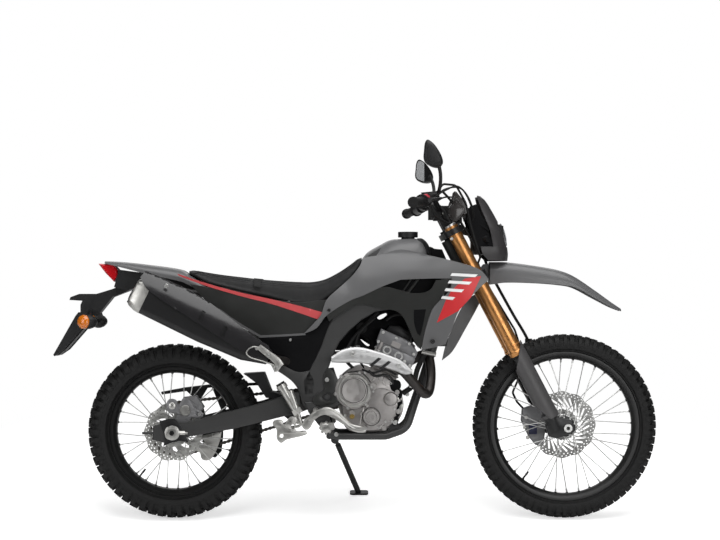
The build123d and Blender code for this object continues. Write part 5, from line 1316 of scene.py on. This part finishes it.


# Hollows of the pump cover as flat dead-black patches: painted shade where the hollows fall in shadow
COVER_HOLLOW_SHADES = [
    [(77, 516), (106, 519), (114, 496), (95, 477), (77, 488)],
    [(98, 481), (114, 486), (119, 462), (106, 451)],
    [(71, 444), (88, 451), (95, 426), (77, 415)],
    [(100, 440), (117, 446), (114, 407), (102, 385), (95, 411)],
    [(59, 411), (73, 415), (70, 393), (59, 389)],
    [(84, 374), (99, 389), (106, 374), (92, 352)],
]
# Raised lugs of the pump cover, in the lighter alloy for their painted highlight
COVER_LIT_LUGS = [
    [(73, 462), (84, 466), (106, 455), (103, 446)],
    [(79, 437), (92, 442), (101, 431), (93, 415), (81, 418)],
    [(110, 426), (121, 433), (117, 407), (110, 404)],
    [(62, 393), (77, 385), (70, 367), (59, 374)],
]


def engine():
    """Crankcase with its side covers, ribs and screws."""
    case = plate("engine_case", [traced(CASE, 8)], -92, 150, "engine_silver", "chassis", 3.5)
    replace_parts(case, "crankcase")
    plate("engine_gasket", [traced(COVER, 8)], -94, 3, "black_metal", "chassis", 0.4)
    inner = [tuple(p + (Vector((6, 440)) - p).normalized() * 1.5) for p in smooth_line(COVER, 8)]
    plate("engine_cover", [inner], -116, 22, "engine_silver", "chassis", 4.0)
    pump = [(-5, 362), (52, 360), (88, 386), (98, 430), (81, 474), (46, 490), (-6, 472)]
    plate("engine_pump_cover", [traced(pump, 8)], -125, 12, "engine_silver", "chassis", 3.0)
    bm = bmesh.new()
    right = (0, -1, 0)
    turned(bm, (CLUTCH[0], -114, CLUTCH[1]), right,
           [(0, 68), (15, 68), (18, 65), (18, 62), (21, 62), (24, 58), (24, 52), (26, 51), (30, 50),
            (33, 47), (33.5, 44), (33, 40), (33, 0)], 64)
    turned(bm, (5, -118, 387), right, [(0, 31), (14, 31), (18, 28), (18, 22), (22, 21), (25, 18), (25, 10),
                                       (23, 9), (23, 0)], 40)
    turned(bm, (76, -118, 452), right, [(0, 26), (14, 26), (19, 22), (20, 10), (20, 0)], 36)
    turned(bm, (12, -120, 498), right, [(0, 14), (9, 14), (11, 12), (11, 0)], 24)
    turned(bm, (15, 56, 430), (0, 1, 0), [(0, 66), (34, 66), (40, 61), (44, 52), (48, 50), (50, 46),
                                          (50, 0)],
           56)
    left_bosses = [around((15, 430), 66, a + 0.3) for a in turns(8)]
    for x, z in left_bosses:
        turned(bm, (x, 60, z), (0, 1, 0), [(0, 8), (32, 8), (34, 6), (34, 0)], 14)
    clutch_bosses = [around(CLUTCH, 67, a + 0.2) for a in turns(6)]
    for x, z in clutch_bosses:
        turned(bm, (x, -112, z), right, [(0, 8), (18, 8), (20, 6.5), (20, 0)], 14)
    for x, z, r in ((-66, 400, 10), (52, 345, 8), (-96, 380, 8), (104, 405, 8), (100, 476, 8), (40, 528, 9),
                    (-20, 345, 8), (-100, 500, 8)):
        turned(bm, (x, -110, z), right, [(0, r + 3), (7, r + 2), (9, r), (9, 0)], 16)
    for x0, z0, x1, z1 in ((-40, 350, -20, 420), (30, 340, 50, 362), (-104, 440, -70, 425),
                           (96, 440, 112, 445), (60, 500, 40, 520), (0, 505, 30, 545)):
        rod(bm, (x0, -115, z0), (x1, -115, z1), 4, 8)
    finish_mesh(bm, "engine_covers", "machined", "chassis", 30)
    bm = bmesh.new()
    for x, z, y, r in ((CLUTCH[0], CLUTCH[1], -117, 68), (CLUTCH[0], CLUTCH[1], -135, 59),
                       (5, 387, -126, 32), (CLUTCH[0], CLUTCH[1], -147, 43)):
        lathe(bm, Vector((x, 0, z)), [(y, r), (y - 0.8, r), (y - 0.8, r + 1.8), (y, r + 1.8)], 56)
    pipe(bm, [(-6, -120, 556), (20, -122, 536), (52, -124, 540), (78, -120, 528), (86, -112, 500)], 5, 10)
    pipe(bm, [(-30, -118, 560), (10, -120, 548), (60, -122, 558), (96, -110, 540)], 4, 10)
    finish_mesh(bm, "engine_seams", "black_metal", "chassis", 40)
    # Raised rings on the clutch and pump covers in the lighter alloy: painted highlight for the bright
    # crescent on the clutch cover's rim
    bm = bmesh.new()
    lathe(bm, Vector((CLUTCH[0] + 2, 0, CLUTCH[1])), [(-137, 50), (-142, 50), (-142, 58), (-139, 61),
                                                      (-137, 61)], 56)
    lathe(bm, Vector((5, 0, 387)), [(-126, 25), (-129, 25), (-129, 30), (-126, 31)], 40)
    finish_mesh(bm, "cover_highlight_rings", "light_alloy", "chassis", 40)
    # Painted shade: dead-black patches over the cover's hollows
    for k, loop in enumerate(COVER_HOLLOW_SHADES):
        plate(f"cover_hollow_shade_{k}", [traced(loop, 3.0)], -118, 6, "black_and_shade", "chassis", 0.8)
    # Painted highlight: the raised lugs in the lighter alloy
    for k, loop in enumerate(COVER_LIT_LUGS):
        plate(f"cover_lit_lug_{k}", [traced(loop, 3.0)], -122, 9, "light_alloy", "chassis", 1.5)
    fasteners("cover_bolts_bright", [(x, -118, z, 7) for x, z in ((95, 367), (81, 378), (-30, 396))],
              "light_alloy")
    fasteners("engine_screws", [(p.x, -116, p.y, 5) for p in along_loop(COVER, 13, 8)] +
              [(x, -132, z, 4.5) for x, z in clutch_bosses] +
              [(p.x, -125, p.y, 4.5) for p in along_loop(pump, 6, 7)])
    fasteners("engine_oil_bolt", [(-66, -119, 387, 9)], "brass_bolt")
    fasteners("engine_left_screws", [(x, 94, z, 4.5) for x, z in left_bosses], axis=(0, 1, 0))
    left_cover = [(-128, 470), (-110, 410), (-66, 400), (-50, 440), (-46, 490), (-80, 505)]
    plate("sprocket_cover", [traced(left_cover)], 84, 12, "black_plastic", "chassis", 2.5)


def engine_top():
    """Barrel, head with its bosses, the head castings, and a black plate above them: painted shadow under
    the tank.
    """
    bm = bmesh.new()
    top_block(bm, (-52, 52), (-56, 56), (0, 62))
    for up in (12, 26, 40):
        top_block(bm, (-57, 57), (-61, 61), (up, up + 5))
    top_block(bm, (-60, 60), (-70, 70), (62, 70))
    top_block(bm, (-66, 66), (-72, 72), (70, 150))
    top_block(bm, (-20, 16), (-84, -70), (112, 134))
    top_block(bm, (-58, -46), (-84, -70), (80, 112))
    head = finish_mesh(bm, "engine_head", "engine_silver", "chassis", 30)
    edge_round(head, 3.0, 3)
    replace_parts(head, "cylinder")
    bm = bmesh.new()
    for ahead, up, r in ((-24, 92, 15), (24, 88, 15)):
        turned(bm, top_spot(ahead, -70, up), (0, -1, 0), [(0, r + 3), (8, r + 3), (11, r), (11, r - 4),
                                                          (8, r - 5), (8, 0)], 28)
    for ahead, up in ((-52, 80), (-52, 126), (52, 80), (52, 126), (-10, 119), (6, 119)):
        turned(bm, top_spot(ahead, -76, up), (0, -1, 0), [(0, 6), (5, 6), (6, 5), (6, 0)], 14)
    finish_mesh(bm, "engine_head_bosses", "zinc_steel", "chassis", 30)
    for name, outline, reach, y0, y1, slot in CASTINGS:
        spots = [top_spot(ahead, 0, up) for ahead, up in outline]
        plate(name, [[(p.x, p.z) for p in spots]], y0, y1 - y0, slot, "chassis", reach)
    fasteners("head_bolts", [tuple(top_spot(a, -83, u)) + (6,) for a, u in
                             ((-64, 146), (-10, 147), (42, 147), (72, 118), (76, 74), (-66, 108))],
                             "zinc_steel")


# Head castings, and a black plate of painted shadow above them: outline by the cylinder's directions, edge,
# y from and to, slot
CASTINGS = [
    ("head_cover", [(-77, 156), (50, 157), (62, 146), (84, 128), (84, 108), (-74, 108)], 4.0, -83, 80,
     "cast_grey"),
    ("head_step", [(-76, 110), (82, 110), (86, 98), (84, 68), (30, 62), (-42, 62), (-60, 84)], 4.0, -79, 76,
     "cast_grey"),
    # Painted shadow: a black plate above the head cover for the shade under the tank
    ("shadow_above_head", [(-58, 152), (46, 152), (40, 186), (-20, 194), (-52, 180)], 8.0, -60, 60, "black_metal")]


def plumbing():
    """Throttle body, hoses and wires around the open engine."""
    bm = bmesh.new()
    turned(bm, (-30, -58, 711), (0, -1, 0), [(0, 20), (6, 20), (8, 18), (8, 8), (6, 7), (6, 0)], 24)
    turned(bm, (-30, 0, 711), (0, -1, 0), [(0, 14), (60, 14)], 16)
    pipe(bm, [(150, -40, 700), (176, -62, 736), (150, -80, 780), (90, -84, 800)], 9, 14)
    pipe(bm, [(-60, -84, 560), (-90, -92, 600), (-70, -92, 660), (-20, -78, 720), (30, -70, 770)], 6, 12)
    pipe(bm, [(-20, -88, 560), (-50, -96, 620), (-40, -94, 690), (20, -84, 750)], 4, 10)
    pipe(bm, [(60, -70, 740), (96, -76, 760), (140, -70, 752), (176, -60, 700), (186, -58, 640)], 5, 10)
    pipe(bm, [(-180, -96, 700), (-150, -98, 730), (-90, -96, 740), (-20, -84, 760)], 5, 10)
    pipe(bm, [(120, -94, 470), (158, -92, 500), (176, -80, 560), (214, -74, 640)], 10, 14)
    finish_mesh(bm, "hoses", "grip_rubber", "chassis", 60)
    bm = bmesh.new()
    for spot in ((-90, -97, 604), (-46, -98, 640), (150, -96, 494)):
        turned(bm, spot, (0.2, -0.3, 1), [(0, 8.2), (7, 8.2)], 18)
    finish_mesh(bm, "hose_clips", "zinc_steel", "chassis", 40)


# ------------------------------------------------------------------ mask, lamps and small panels

# Headlight mask by height: z, then (x, y) from the nose round to the side's rear edge
MASK_ROWS = [(1203, [(414, 0), (410, 26), (404, 40), (402, 48), (400, 54)]),
             (1186, [(432, 0), (428, 32), (418, 50), (410, 58), (403, 64)]),
             (1150, [(455, 0), (449, 38), (436, 58), (424, 68), (414, 74)]),
             (1104, [(480, 0), (474, 44), (460, 66), (446, 78), (432, 85)]),
             (1070, [(497, 0), (490, 46), (478, 70), (462, 83), (445, 91)]),
             (1012, [(514, 0), (508, 46), (496, 72), (478, 86), (456, 94)])]
FLANGE_ROWS = [(1012, [(514, 0), (508, 46), (496, 72), (470, 90), (408, 101)]),
               (985, [(517, 0), (510, 42), (500, 68), (474, 86), (416, 97)]),
               (961, [(515, 0), (508, 38), (498, 60), (474, 80), (438, 89)])]


def level_rows(table):
    return [[(x, y, z) for x, y in half] for z, half in table]


def mask():
    """Headlight mask: upper shell with the lamp's opening, lower flange, black inner faces painted dead
    black for the shade inside the cowl.
    """
    shell = skin("mask_shell", level_rows(MASK_ROWS), 4.0, "cowl_grey", "steering", smooth=25,
                 cut=(3, 5, 46.5))
    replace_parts(shell, "headlight_cowl")
    skin("mask_flange", level_rows(FLANGE_ROWS), 4.0, "cowl_grey", "steering", smooth=25)
    dress("headlight", 2.0, "black_plastic", 45)
    bm = bmesh.new()
    front = [[bm.verts.new((x + 5 * (1 - (y * w / 55) ** 2), y * w, z)) for y in (-1, -0.5, 0, 0.5, 1)]
             for x, z, w in ((486, 1100, 52), (497, 1078, 50), (505, 1048, 48), (508, 1018, 44))]
    for a, b in zip(front, front[1:]):
        for k in range(4):
            bm.faces.new((a[k], a[k + 1], b[k + 1], b[k]))
    glass = finish_mesh(bm, "headlight_glass", "clear_lens", "steering", 80)
    thick = glass.modifiers.new("wall", "SOLIDIFY")
    thick.thickness = 0.003
    bm = bmesh.new()
    turned(bm, (455, 0, 1052), (1, 0, 0.12), [(0, 6), (8, 20), (20, 30), (32, 36), (33, 34), (21, 28),
                                              (9, 18), (6, 6)], 28)
    finish_mesh(bm, "headlight_bowl", "zinc_steel", "steering", 60)
    for side in (-1, 1):
        # Inner faces of the cowl: black plastic, painted dead black for the shade inside the mask
        bm = bmesh.new()
        outline = [(394, 1170), (412, 1128), (430, 1088), (460, 1006), (392, 1002), (374, 1060), (358, 1112),
                   (370, 1162)]
        tube(bm, [[(x, side * (y + (1168 - z) * 0.1), z) for x, z in outline] for y in (70, 74)])
        for y0, z0, y1, z1 in ((80, 1050, 88, 1036), (76, 1100, 86, 1090)):
            rod(bm, (396, side * y0, z0), (440, side * y1, z1 - 20), 4, 8)
        finish_mesh(bm, f"mask_inner_shade_{'left' if side > 0 else 'right'}", "black_and_shade", "steering", 30)


def signals():
    """Turn signals: smoked pods at the front, amber ones in black housings at the rear."""
    stalks = bmesh.new()
    for side in (-1, 1):
        leaf = [(309, 1196, 1), (297, 1166), (286, 1148), (290, 1120), (310, 1102), (332, 1118), (345, 1146),
                (334, 1164), (322, 1178)]
        for scale, y0, y1, bump_in in ((1.0, 150, 172, 5.0), (0.8, 168, 182, 4.0)):
            loop = [(316 + (x - 316) * scale, 1138 + (z - 1138) * scale) for x, z in traced(leaf)]
            low, high = sorted((side * y0, side * y1))
            piece = plate(f"front_pod_{side}_{y0}", [loop], low, high - low, "smoked_lens", "steering",
                          bump_in)
            if side > 0 and y0 == 150:
                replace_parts(piece, "front_signals")
        pipe(stalks, [(335, 0, 1110), (336, side * 60, 1110), (328, side * 120, 1120),
                      (320, side * 152, 1130)],
             6, 12)
    finish_mesh(stalks, "front_signal_stalks", "black_plastic", "steering", 60)
    lenses, cups, arms = bmesh.new(), bmesh.new(), bmesh.new()
    for side in (-1, 1):
        spot = (-1038, side * 132, 735)
        turned(lenses, (-1046, side * 140, 735), (-0.5, side, 0.06), [(0, 25), (10, 25), (17, 20), (21, 10),
                                                                      (22, 0)], 36)
        turned(cups, spot, (1, side * -0.35, -0.06), [(-4, 26), (0, 27), (12, 26), (26, 20), (36, 11),
                                                      (40, 0)], 36)
        pipe(arms, [(-1040, side * 34, 772), (-1034, side * 80, 757), (-1022, side * 122, 738)], 8, 14)
    cups_piece = finish_mesh(cups, "rear_signal_housings", "black_plastic", "chassis", 50)
    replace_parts(cups_piece, "rear_signals")
    finish_mesh(lenses, "rear_signal_lenses", "amber_lens", "chassis", 50)
    finish_mesh(arms, "rear_signal_stalks", "black_plastic", "chassis", 50)


def inner_panels():
    """The grey scoop on the left side, and the black tank body seen through the openings."""
    scoop = [(424, 846, 1), (427, 815), (417, 790), (367, 700), (317, 615), (278, 582, 1), (292, 640),
             (312, 690), (340, 760), (380, 820)]
    panel("left_scoop", scoop, lambda x, z: 176 + (x - 300) * 0.03, 5.0, "grey_plastic", sides=(1,),
          round_edge=1.2)
    tank = dress("fuel_tank", 4.0, "black_plastic", 40)
    middle = Vector((50, 0, 830))
    reshape(tank, lambda spot: middle + (spot - middle) * Vector((0.95, 0.9, 0.93)))


# ------------------------------------------------------------------ small flat parts


def band(line, widths):
    """Outline of a flat bar from its middle line and its width at each point."""
    spots, left, right = [Vector(p) for p in line], [], []
    for k, spot in enumerate(spots):
        run = (spots[min(k + 1, len(spots) - 1)] - spots[max(k - 1, 0)]).normalized()
        across = Vector((-run.y, run.x)) * widths[k] / 2
        left.append(tuple(spot + across))
        right.append(tuple(spot - across))
    return left + right[::-1]


PEDAL = band([(-238, 350), (-206, 389), (-166, 407), (-129, 393), (-92, 367), (-55, 341), (-15, 338)],
             [26, 22, 22, 22, 16, 13, 11])
# Dead-black sheet under the seat behind the frame: the black mouldings there and the shade on them, painted
# as one
SIDE_GUARD_SHADE = [(-412, 676, 1), (-250, 690), (-236, 700), (-150, 776, 1), (-122, 752), (-150, 700),
              (-176, 640), (-200, 600), (-218, 554, 1), (-258, 548), (-287, 556), (-340, 586, 1),
              (-376, 616)]
FRAME_BRACE = [(-339, 590, 1), (-287, 558), (-258, 550), (-221, 556, 1), (-199, 503), (-199, 447),
               (-221, 403, 1), (-247, 429), (-262, 480), (-284, 513), (-317, 539), (-350, 560, 1)]
# Name, y from and to, rounded edge, slot, outline, holes
FLAT_PARTS = [
    # Painted shade with the black mouldings behind the frame, on both sides
    ("side_guard_shade", -114, -109, 1.2, "black_and_shade", SIDE_GUARD_SHADE, []),
    ("side_guard_left", 109, 114, 1.2, "black_and_shade", SIDE_GUARD_SHADE, []),
    ("frame_brace", -118, -104, 3.0, "frame_grey", FRAME_BRACE, []),
    ("frame_brace_left", 104, 118, 3.0, "frame_grey", FRAME_BRACE, []),
    ("pivot_cover", -128, -117, 3.0, "dark_plastic",
     [(-156, 562), (-132, 550), (-112, 503), (-112, 448), (-147, 430), (-199, 430), (-212, 448),
      (-199, 467), (-168, 484), (-172, 521)],
     [[(-176, 458), (-150, 474), (-148, 446)]]),
    # Painted shade: a dead-black sheet in the middle for the dark parts in shadow around the engine top; its
    # holes let the backdrop through
    ("inner_shade_sheet", -28, 28, 4.0, "black_and_shade",
     [(-138, 628, 1), (-119, 673), (-67, 722), (-14, 770), (38, 806), (120, 816), (165, 770), (180, 673),
      (158, 655, 1), (42, 705, 1), (23, 666), (8, 620), (-74, 640), (-104, 628)],
     [[(-37, 680), (-10, 672), (2, 650), (-8, 642), (-32, 664)], [(28, 750), (60, 766), (64, 759),
      (38, 742)]]),
    # Painted shade: a dead-black sheet for the dark gap between the tank and the steering head
    ("neck_shade_sheet", -24, 24, 3.0, "black_and_shade",
     [(200, 1000), (226, 1014), (240, 1007), (270, 1004, 1), (290, 957, 1), (200, 957, 1)], []),
    ("brake_link", -152, -140, 2.0, "light_alloy",
     [(-356, 368), (-323, 376), (-314, 360), (-293, 387), (-268, 383), (-272, 339), (-235, 336),
      (-231, 324), (-308, 303), (-326, 292), (-341, 310), (-341, 339)],
     [[(-330, 320), (-318, 324), (-322, 310)], [(-290, 350), (-280, 360), (-280, 345)]]),
    ("brake_pedal", -173, -163, 2.0, "light_alloy", PEDAL, []),
    ("axle_block", -112, -109, 1.0, "black_metal",
     [(-775, 369, 1), (-723, 378), (-700, 356), (-675, 310), (-668, 290, 1), (-700, 296), (-730, 290),
      (-760, 277, 1), (-757, 310), (-767, 343)], []),
    ("caliper_plate", -93, -84, 2.0, "cast_grey",
     [(-752, 424), (-742, 448), (-716, 446), (-706, 428), (-690, 452), (-664, 446), (-650, 420),
      (-622, 404), (-616, 384), (-640, 380), (-668, 384), (-716, 396), (-742, 402)],
     [[(-640, 400), (-630, 394), (-640, 390)]]),
    ("guide_plate", 49, 55, 1.5, "light_alloy",
     [(-682, 284, 1), (-635, 303), (-559, 318, 1), (-565, 284), (-597, 217), (-630, 212), (-644, 242),
      (-682, 250, 1)],
     [[(-640, 282), (-628, 288), (-626, 274)]]),
    ("pillion_bar", -226, -218, 2.5, "light_alloy",
     [(-412, 640, 1), (-396, 654, 1), (-326, 604, 1), (-312, 582, 1), (-322, 574, 1), (-332, 558, 1),
      (-346, 554, 1), (-350, 566, 1), (-344, 582, 1), (-358, 596, 1)], []),
]


def flat_parts():
    """Plates and levers cut from sheet or cast flat, the chain guide, and dead-black sheets of painted shade
    in the openings, behind the frame and behind the vent.
    """
    for name, y0, y1, edge, slot, outline, holes in FLAT_PARTS:
        plate(name, [traced(outline)] + [traced(h, 3.0) for h in holes], y0, y1 - y0, slot, "chassis", edge)
    # Painted shade: a dead-black sheet behind the vent for the shadowed space inside it
    panel("vent_shade", [(6, 840, 1), (30, 905, 1), (262, 905, 1), (262, 840, 1)], lambda x, z: 124.0, 3.0,
          "black_and_shade", round_edge=0)
    bm = bmesh.new()
    for side in (-126, 126):
        rod(bm, (118, side, 842), (158, side, 902), 3.5, 10)
        rod(bm, (140, side, 842), (184, side, 902), 5, 12)
    finish_mesh(bm, "vent_tubes", "dark_plastic", "chassis", 60)


def foot_parts():
    """Rear master cylinder, footpegs, the pillion bracket's wire and stays, axle adjusters, bolts."""
    alloy, black = bmesh.new(), bmesh.new()
    rod(alloy, (-322, -146, 498), (-268, -146, 409), 16, 18)
    rod(alloy, (-292, -158, 484), (-270, -158, 420), 11, 14)
    rod(alloy, (-326, -146, 504), (-318, -146, 491), 20, 18)
    rod(alloy, (-272, -146, 416), (-262, -146, 400), 20, 6)
    rod(black, (-330, -146, 511), (-324, -146, 501), 17, 18)
    rod(black, (-292, -146, 449), (-292, -112, 449), 9, 10)
    rod(alloy, (-262, -146, 400), (-250, -150, 360), 6, 10)
    rod(alloy, (-366, -222, 622), (-346, -108, 606), 6, 10)
    rod(alloy, (-336, -222, 588), (-330, -108, 600), 6, 10)
    pipe(alloy, [(-400, -222, 644), (-426, -222, 645), (-447, -222, 627), (-436, -222, 609),
                 (-400, -222, 597), (-348, -222, 580)], 2.2, 10, 8)
    for side in (-1, 1):
        turned(alloy, (-160, side * 214, 350), (0, side, 0), [(-76, 17), (-2, 17), (0, 14), (0, 0)], 20)
        for x, z in circle((-160, 350), 19, 8):
            rod(alloy, (x, side * 140, z), (x, side * 212, z), 5, 6)
        spot = Vector((REAR_AXLE.x, side * 110, REAR_AXLE.z))
        for k in range(2):
            rod(alloy, spot + Vector((-22 + 44 * k, side * 2, 0)), spot + Vector((-19 + 66 * k, side * 2,
                                                                                  0)), 8, 6)
        rod(alloy, spot + Vector((20, side * 4, 0)), spot + Vector((56, side * 4, -1)), 4.5, 10)
        loop = [(spot.x + dx, spot.z + dz) for dx, dz in ((-20, -20), (20, -20), (20, 20), (-20, 20))]
        plate(f"adjuster_{'left' if side > 0 else 'right'}", [traced(loop, 4.0)],
              min(side * 110, side * 124), 14, "light_alloy", "chassis", 3.0)
        turned(black, spot + Vector((0, side * 14, 0)), (0, side, 0), [(-2, 9), (6, 9), (6, 5), (1, 5),
                                                                       (1, 0)], 20)
    turned(alloy, (-682, -84, 407), (0, -1, 0), [(0, 21), (12, 21), (15, 18), (15, 0)], 28)
    turned(alloy, (-730, -84, 424), (0, -1, 0), [(0, 13), (11, 13), (13, 10), (13, 0)], 20)
    rod(alloy, (192, -88, 624), (244, -92, 613), 8, 12)
    finish_mesh(alloy, "foot_alloy", "light_alloy", "chassis", 40)
    finish_mesh(black, "foot_black", "black_metal", "chassis", 40)
    fasteners("frame_bolts", [(138, -72, 466, 8), (92, -118, 364, 8), (-124, -116, 321, 8),
                              (-158, -126, 522, 8), (-293, -114, 668, 5), (-629, -93, 393, 6),
                              (-366, -226, 614, 6), (-338, -226, 572, 5), (-222, -173, 372, 6)],
                              "zinc_steel")


def bar_parts():
    """Red stop switch, front hose with its clip, caliper details and bolts that turn with the bars."""
    red, hose, blue = bmesh.new(), bmesh.new(), bmesh.new()
    turned(red, (200, -252, 1182), (0, 0, 1), [(0, 10), (10, 10), (14, 7), (14, 0)], 18)
    box(red, (190, -266, 1180), (214, -240, 1190))
    finish_mesh(red, "stop_switch", "switch_red", "steering", 40)
    pipe(hose, [(430, 62, 985), (452, 84, 930), (492, 100, 857), (548, 106, 757), (600, 108, 668),
                (606, 108, 636)],
         5.5, 12, 8)
    box(hose, (592, 98, 640), (618, 116, 668))
    for points in ([(224, -60, 1168), (250, -84, 1150), (276, -60, 1120), (312, -40, 1096)],
                   [(216, 70, 1166), (250, 90, 1146), (290, 70, 1110), (330, 50, 1090)],
                   [(214, -236, 1160), (236, -180, 1120), (280, -110, 1100), (330, -80, 1084)],
                   [(262, -236, 1206), (300, -160, 1170), (330, -110, 1110), (372, -90, 1040),
                    (392, -84, 1000)]):
        pipe(hose, points, 4.5, 10, 8)
    box(hose, (238, -34, 1112), (292, 34, 1166))
    box(hose, (222, -92, 1118), (262, -58, 1166))
    box(hose, (222, 58, 1118), (262, 92, 1166))
    finish_mesh(hose, "front_hose", "grip_rubber", "steering", 50)
    box(blue, (601, 43, 309), (631, 50, 348))
    edge_round(finish_mesh(blue, "caliper_badge", "blue_cap", "steering", 40), 2.0)
    fasteners("caliper_bolts", [(590, 50, 372, 7), (596, 50, 296, 7), (644, 50, 356, 6), (584, 50, 334, 6)],
              "light_alloy", "steering")
    fasteners("clamp_bolts", [(262, -66, 1136, 10), (326, -60, 1082, 8), (300, -124, 1040, 6)],
              "light_alloy", "steering")


# ------------------------------------------------------------------ seat

# Cushion: x, top z, bottom z, half width
SEAT_ROWS = [(-672, 924, 912, 50), (-640, 919, 897, 72), (-600, 912, 875, 82), (-540, 903, 859, 88),
             (-480, 896, 844, 90), (-400, 887, 827, 88), (-320, 881, 809, 84), (-260, 878, 797, 78),
             (-215, 878, 790, 72), (-166, 888, 813, 66), (-111, 916, 857, 60), (-67, 946, 898, 55),
             (-42, 966, 932, 51), (-30, 974, 958, 47)]


STRAP, STRAP_RISE = (-429, -401), 6.2


def seat_ring(top, low, half):
    """Half of a cushion section, from the middle of its base to the middle of its top."""
    tall = top - low
    return [(0, low), (half * 0.84, low), (half * 0.98, low + tall * 0.1), (half, low + tall * 0.4),
            (half * 0.93, top - tall * 0.16), (half * 0.72, top - tall * 0.02), (half * 0.36, top), (0, top)]


def seat_at(x):
    """The cushion's top, base and half width at a distance along it."""
    return [smooth_at([(row[0], row[k]) for row in SEAT_ROWS], x) for k in (1, 2, 3)]


def seat_spot(x, y_share, lift=0.0):
    """A point on the cushion's top, y as a share of its half width."""
    top, low, half = seat_at(x)
    ring = seat_ring(top, low, half)[2:]
    knots = [(p[0] / half, p[1]) for p in reversed(ring[1:])]
    z = smooth_at(knots, min(abs(y_share), 1.0))
    return Vector((x, y_share * half, z + lift))


HELD_HEIGHT = 8.0           # the cushion's lowest millimetres stay on its base


def swell(piece, voxel, cap, pressure, frames=20):
    """Remeshes a cushion and swells its cover by cloth simulation, base held, moves capped."""
    scene = bpy.context.scene
    remesh = piece.modifiers.new("remesh", "REMESH")
    remesh.mode = "VOXEL"
    remesh.voxel_size = voxel
    graph = bpy.context.evaluated_depsgraph_get()
    mesh = bpy.data.meshes.new_from_object(piece.evaluated_get(graph))
    piece.modifiers.clear()
    piece.data = mesh
    upright = PARK.inverted()
    held = piece.vertex_groups.new(name="held")
    before = [vert.co.copy() for vert in mesh.vertices]
    for vert in mesh.vertices:
        spot = upright @ vert.co
        if spot.z < seat_at(spot.x)[1] + HELD_HEIGHT:
            held.add([vert.index], 1.0, "REPLACE")
    cloth = piece.modifiers.new("cloth", "CLOTH")
    cloth.settings.quality = 5
    cloth.settings.vertex_group_mass = "held"
    cloth.settings.use_pressure = True
    cloth.settings.uniform_pressure_force = pressure
    cloth.settings.effector_weights.gravity = 0
    for step in range(1, frames + 1):
        scene.frame_set(step)
    graph = bpy.context.evaluated_depsgraph_get()
    swollen = bpy.data.meshes.new_from_object(piece.evaluated_get(graph))
    piece.modifiers.clear()
    for old, vert in zip(before, swollen.vertices):
        move = vert.co - old
        if move.length > cap:
            vert.co = old + move.normalized() * cap
    piece.data = swollen
    scene.frame_set(1)
    for polygon in swollen.polygons:
        polygon.use_smooth = True
    piece.modifiers.new("smooth", "SUBSURF").levels = 1


def seat():
    """The long cushion, its strap and its seams."""
    bm = bmesh.new()
    lines = [smooth_run([Vector((x, y, z)) for x, y, z in column], 4) for column in
             zip(*[[(x, y, z) for y, z in seat_ring(top, low, half)] for x, top, low, half in SEAT_ROWS])]
    rings = []
    for stop in zip(*lines):
        half = smooth_run(list(stop), 3)
        rings.append(half + [Vector((p.x, -p.y, p.z)) for p in reversed(half[1:-1])])
    tube(bm, rings)
    cushion = finish_mesh(bm, "seat_cushion", "seat_cover", "chassis", 60)
    swell(cushion, voxel=0.005, cap=0.004, pressure=4.0)
    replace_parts(cushion, "seat")
    bm = bmesh.new()
    shares = [k / 12 - 1 for k in range(25)]
    rows = [[seat_spot(x, share * 0.99, STRAP_RISE) + Vector((0, share * STRAP_RISE, 0)) for share in shares]
            for x in STRAP]
    under = [[p + Vector((0, 0, -2.4)) for p in row] for row in rows]
    made = [[bm.verts.new(p) for p in row] for row in (rows[0], rows[1], under[1], under[0])]
    for a, b in zip(made, made[1:] + made[:1]):
        for k in range(len(a) - 1):
            bm.faces.new((a[k], a[k + 1], b[k + 1], b[k]))
    finish_mesh(bm, "seat_strap", "grip_rubber", "chassis", 60)
    bm = bmesh.new()
    for side in (-1, 1):
        pipe(bm, [seat_spot(x, side * 0.93, 4.0) for x in range(-650, -40, 30)], 1.6, 8, 2)
        pipe(bm, [seat_spot(x, side * 0.72, 4.2) for x in range(-640, -60, 30)], 1.0, 6, 2)
    finish_mesh(bm, "seat_seams", "seat_cover", "chassis", 60)


plain_nodes()
stage()
sky()
lights()
camera()

tyre("front_tyre_tread", FRONT_AXLE, FRONT_TYRE, "front_wheel", "front_tyre")
tyre("rear_tyre_tread", REAR_AXLE, REAR_TYRE, "rear_wheel", "rear_tyre")
wheel("front", FRONT_AXLE, FRONT_WHEEL, "front_wheel", "front_rim")
wheel("rear", REAR_AXLE, REAR_WHEEL, "rear_wheel", "rear_rim")
# The front rotor, on the far side, gets the darker disc steel: painted shade
brake_disc("front_rotor", FRONT_AXLE, 62.0, 4.0, 127.0, 12, "front_wheel", 52.0, "front_disc",
           "shaded_disc_steel")
brake_disc("rear_rotor", REAR_AXLE, -71.5, 3.5, 109.0, 10, "rear_wheel", 50.0, "rear_disc",
           "disc_steel")
rear_sprocket()
chain()
shrouds()
tank()
fender_and_tail()
side_covers()
fork()
cables()
mirrors()
exhaust()
heat_shield()
engine()
engine_top()
plumbing()
mask()
signals()
inner_panels()
flat_parts()
foot_parts()
bar_parts()
seat()
EDGE, CREASE = 1.2, 42.0      # softened nodes: edge radius in millimetres, smoothing angle
DRESSES = {
    None: ("triple_clamps", "fork_legs", "handlebar", "radiator", "intake", "tail_light",
           "rear_fender", "side_stand", "skid_plate", "chain_guard", "grips"),
    "frame_grey": ("frame", "swingarm"), "guard_grey": ("fork_guards",),
    "cast_grey": ("front_caliper", "rear_caliper"), "smoked_lens": ("meter",),
    "light_alloy": ("foot_controls",)}
for slot, names in DRESSES.items():
    for name in names:
        dress(name, EDGE, slot, CREASE)
LEVER_TOP, LEVER_SQUASH = 1184.0, 0.45
reshape(dress("controls", EDGE, smooth=40), lambda spot: Vector((spot.x, spot.y, min(
    spot.z, LEVER_TOP + (spot.z - LEVER_TOP) * LEVER_SQUASH))))

bpy.context.scene.view_settings.view_transform = "Standard"
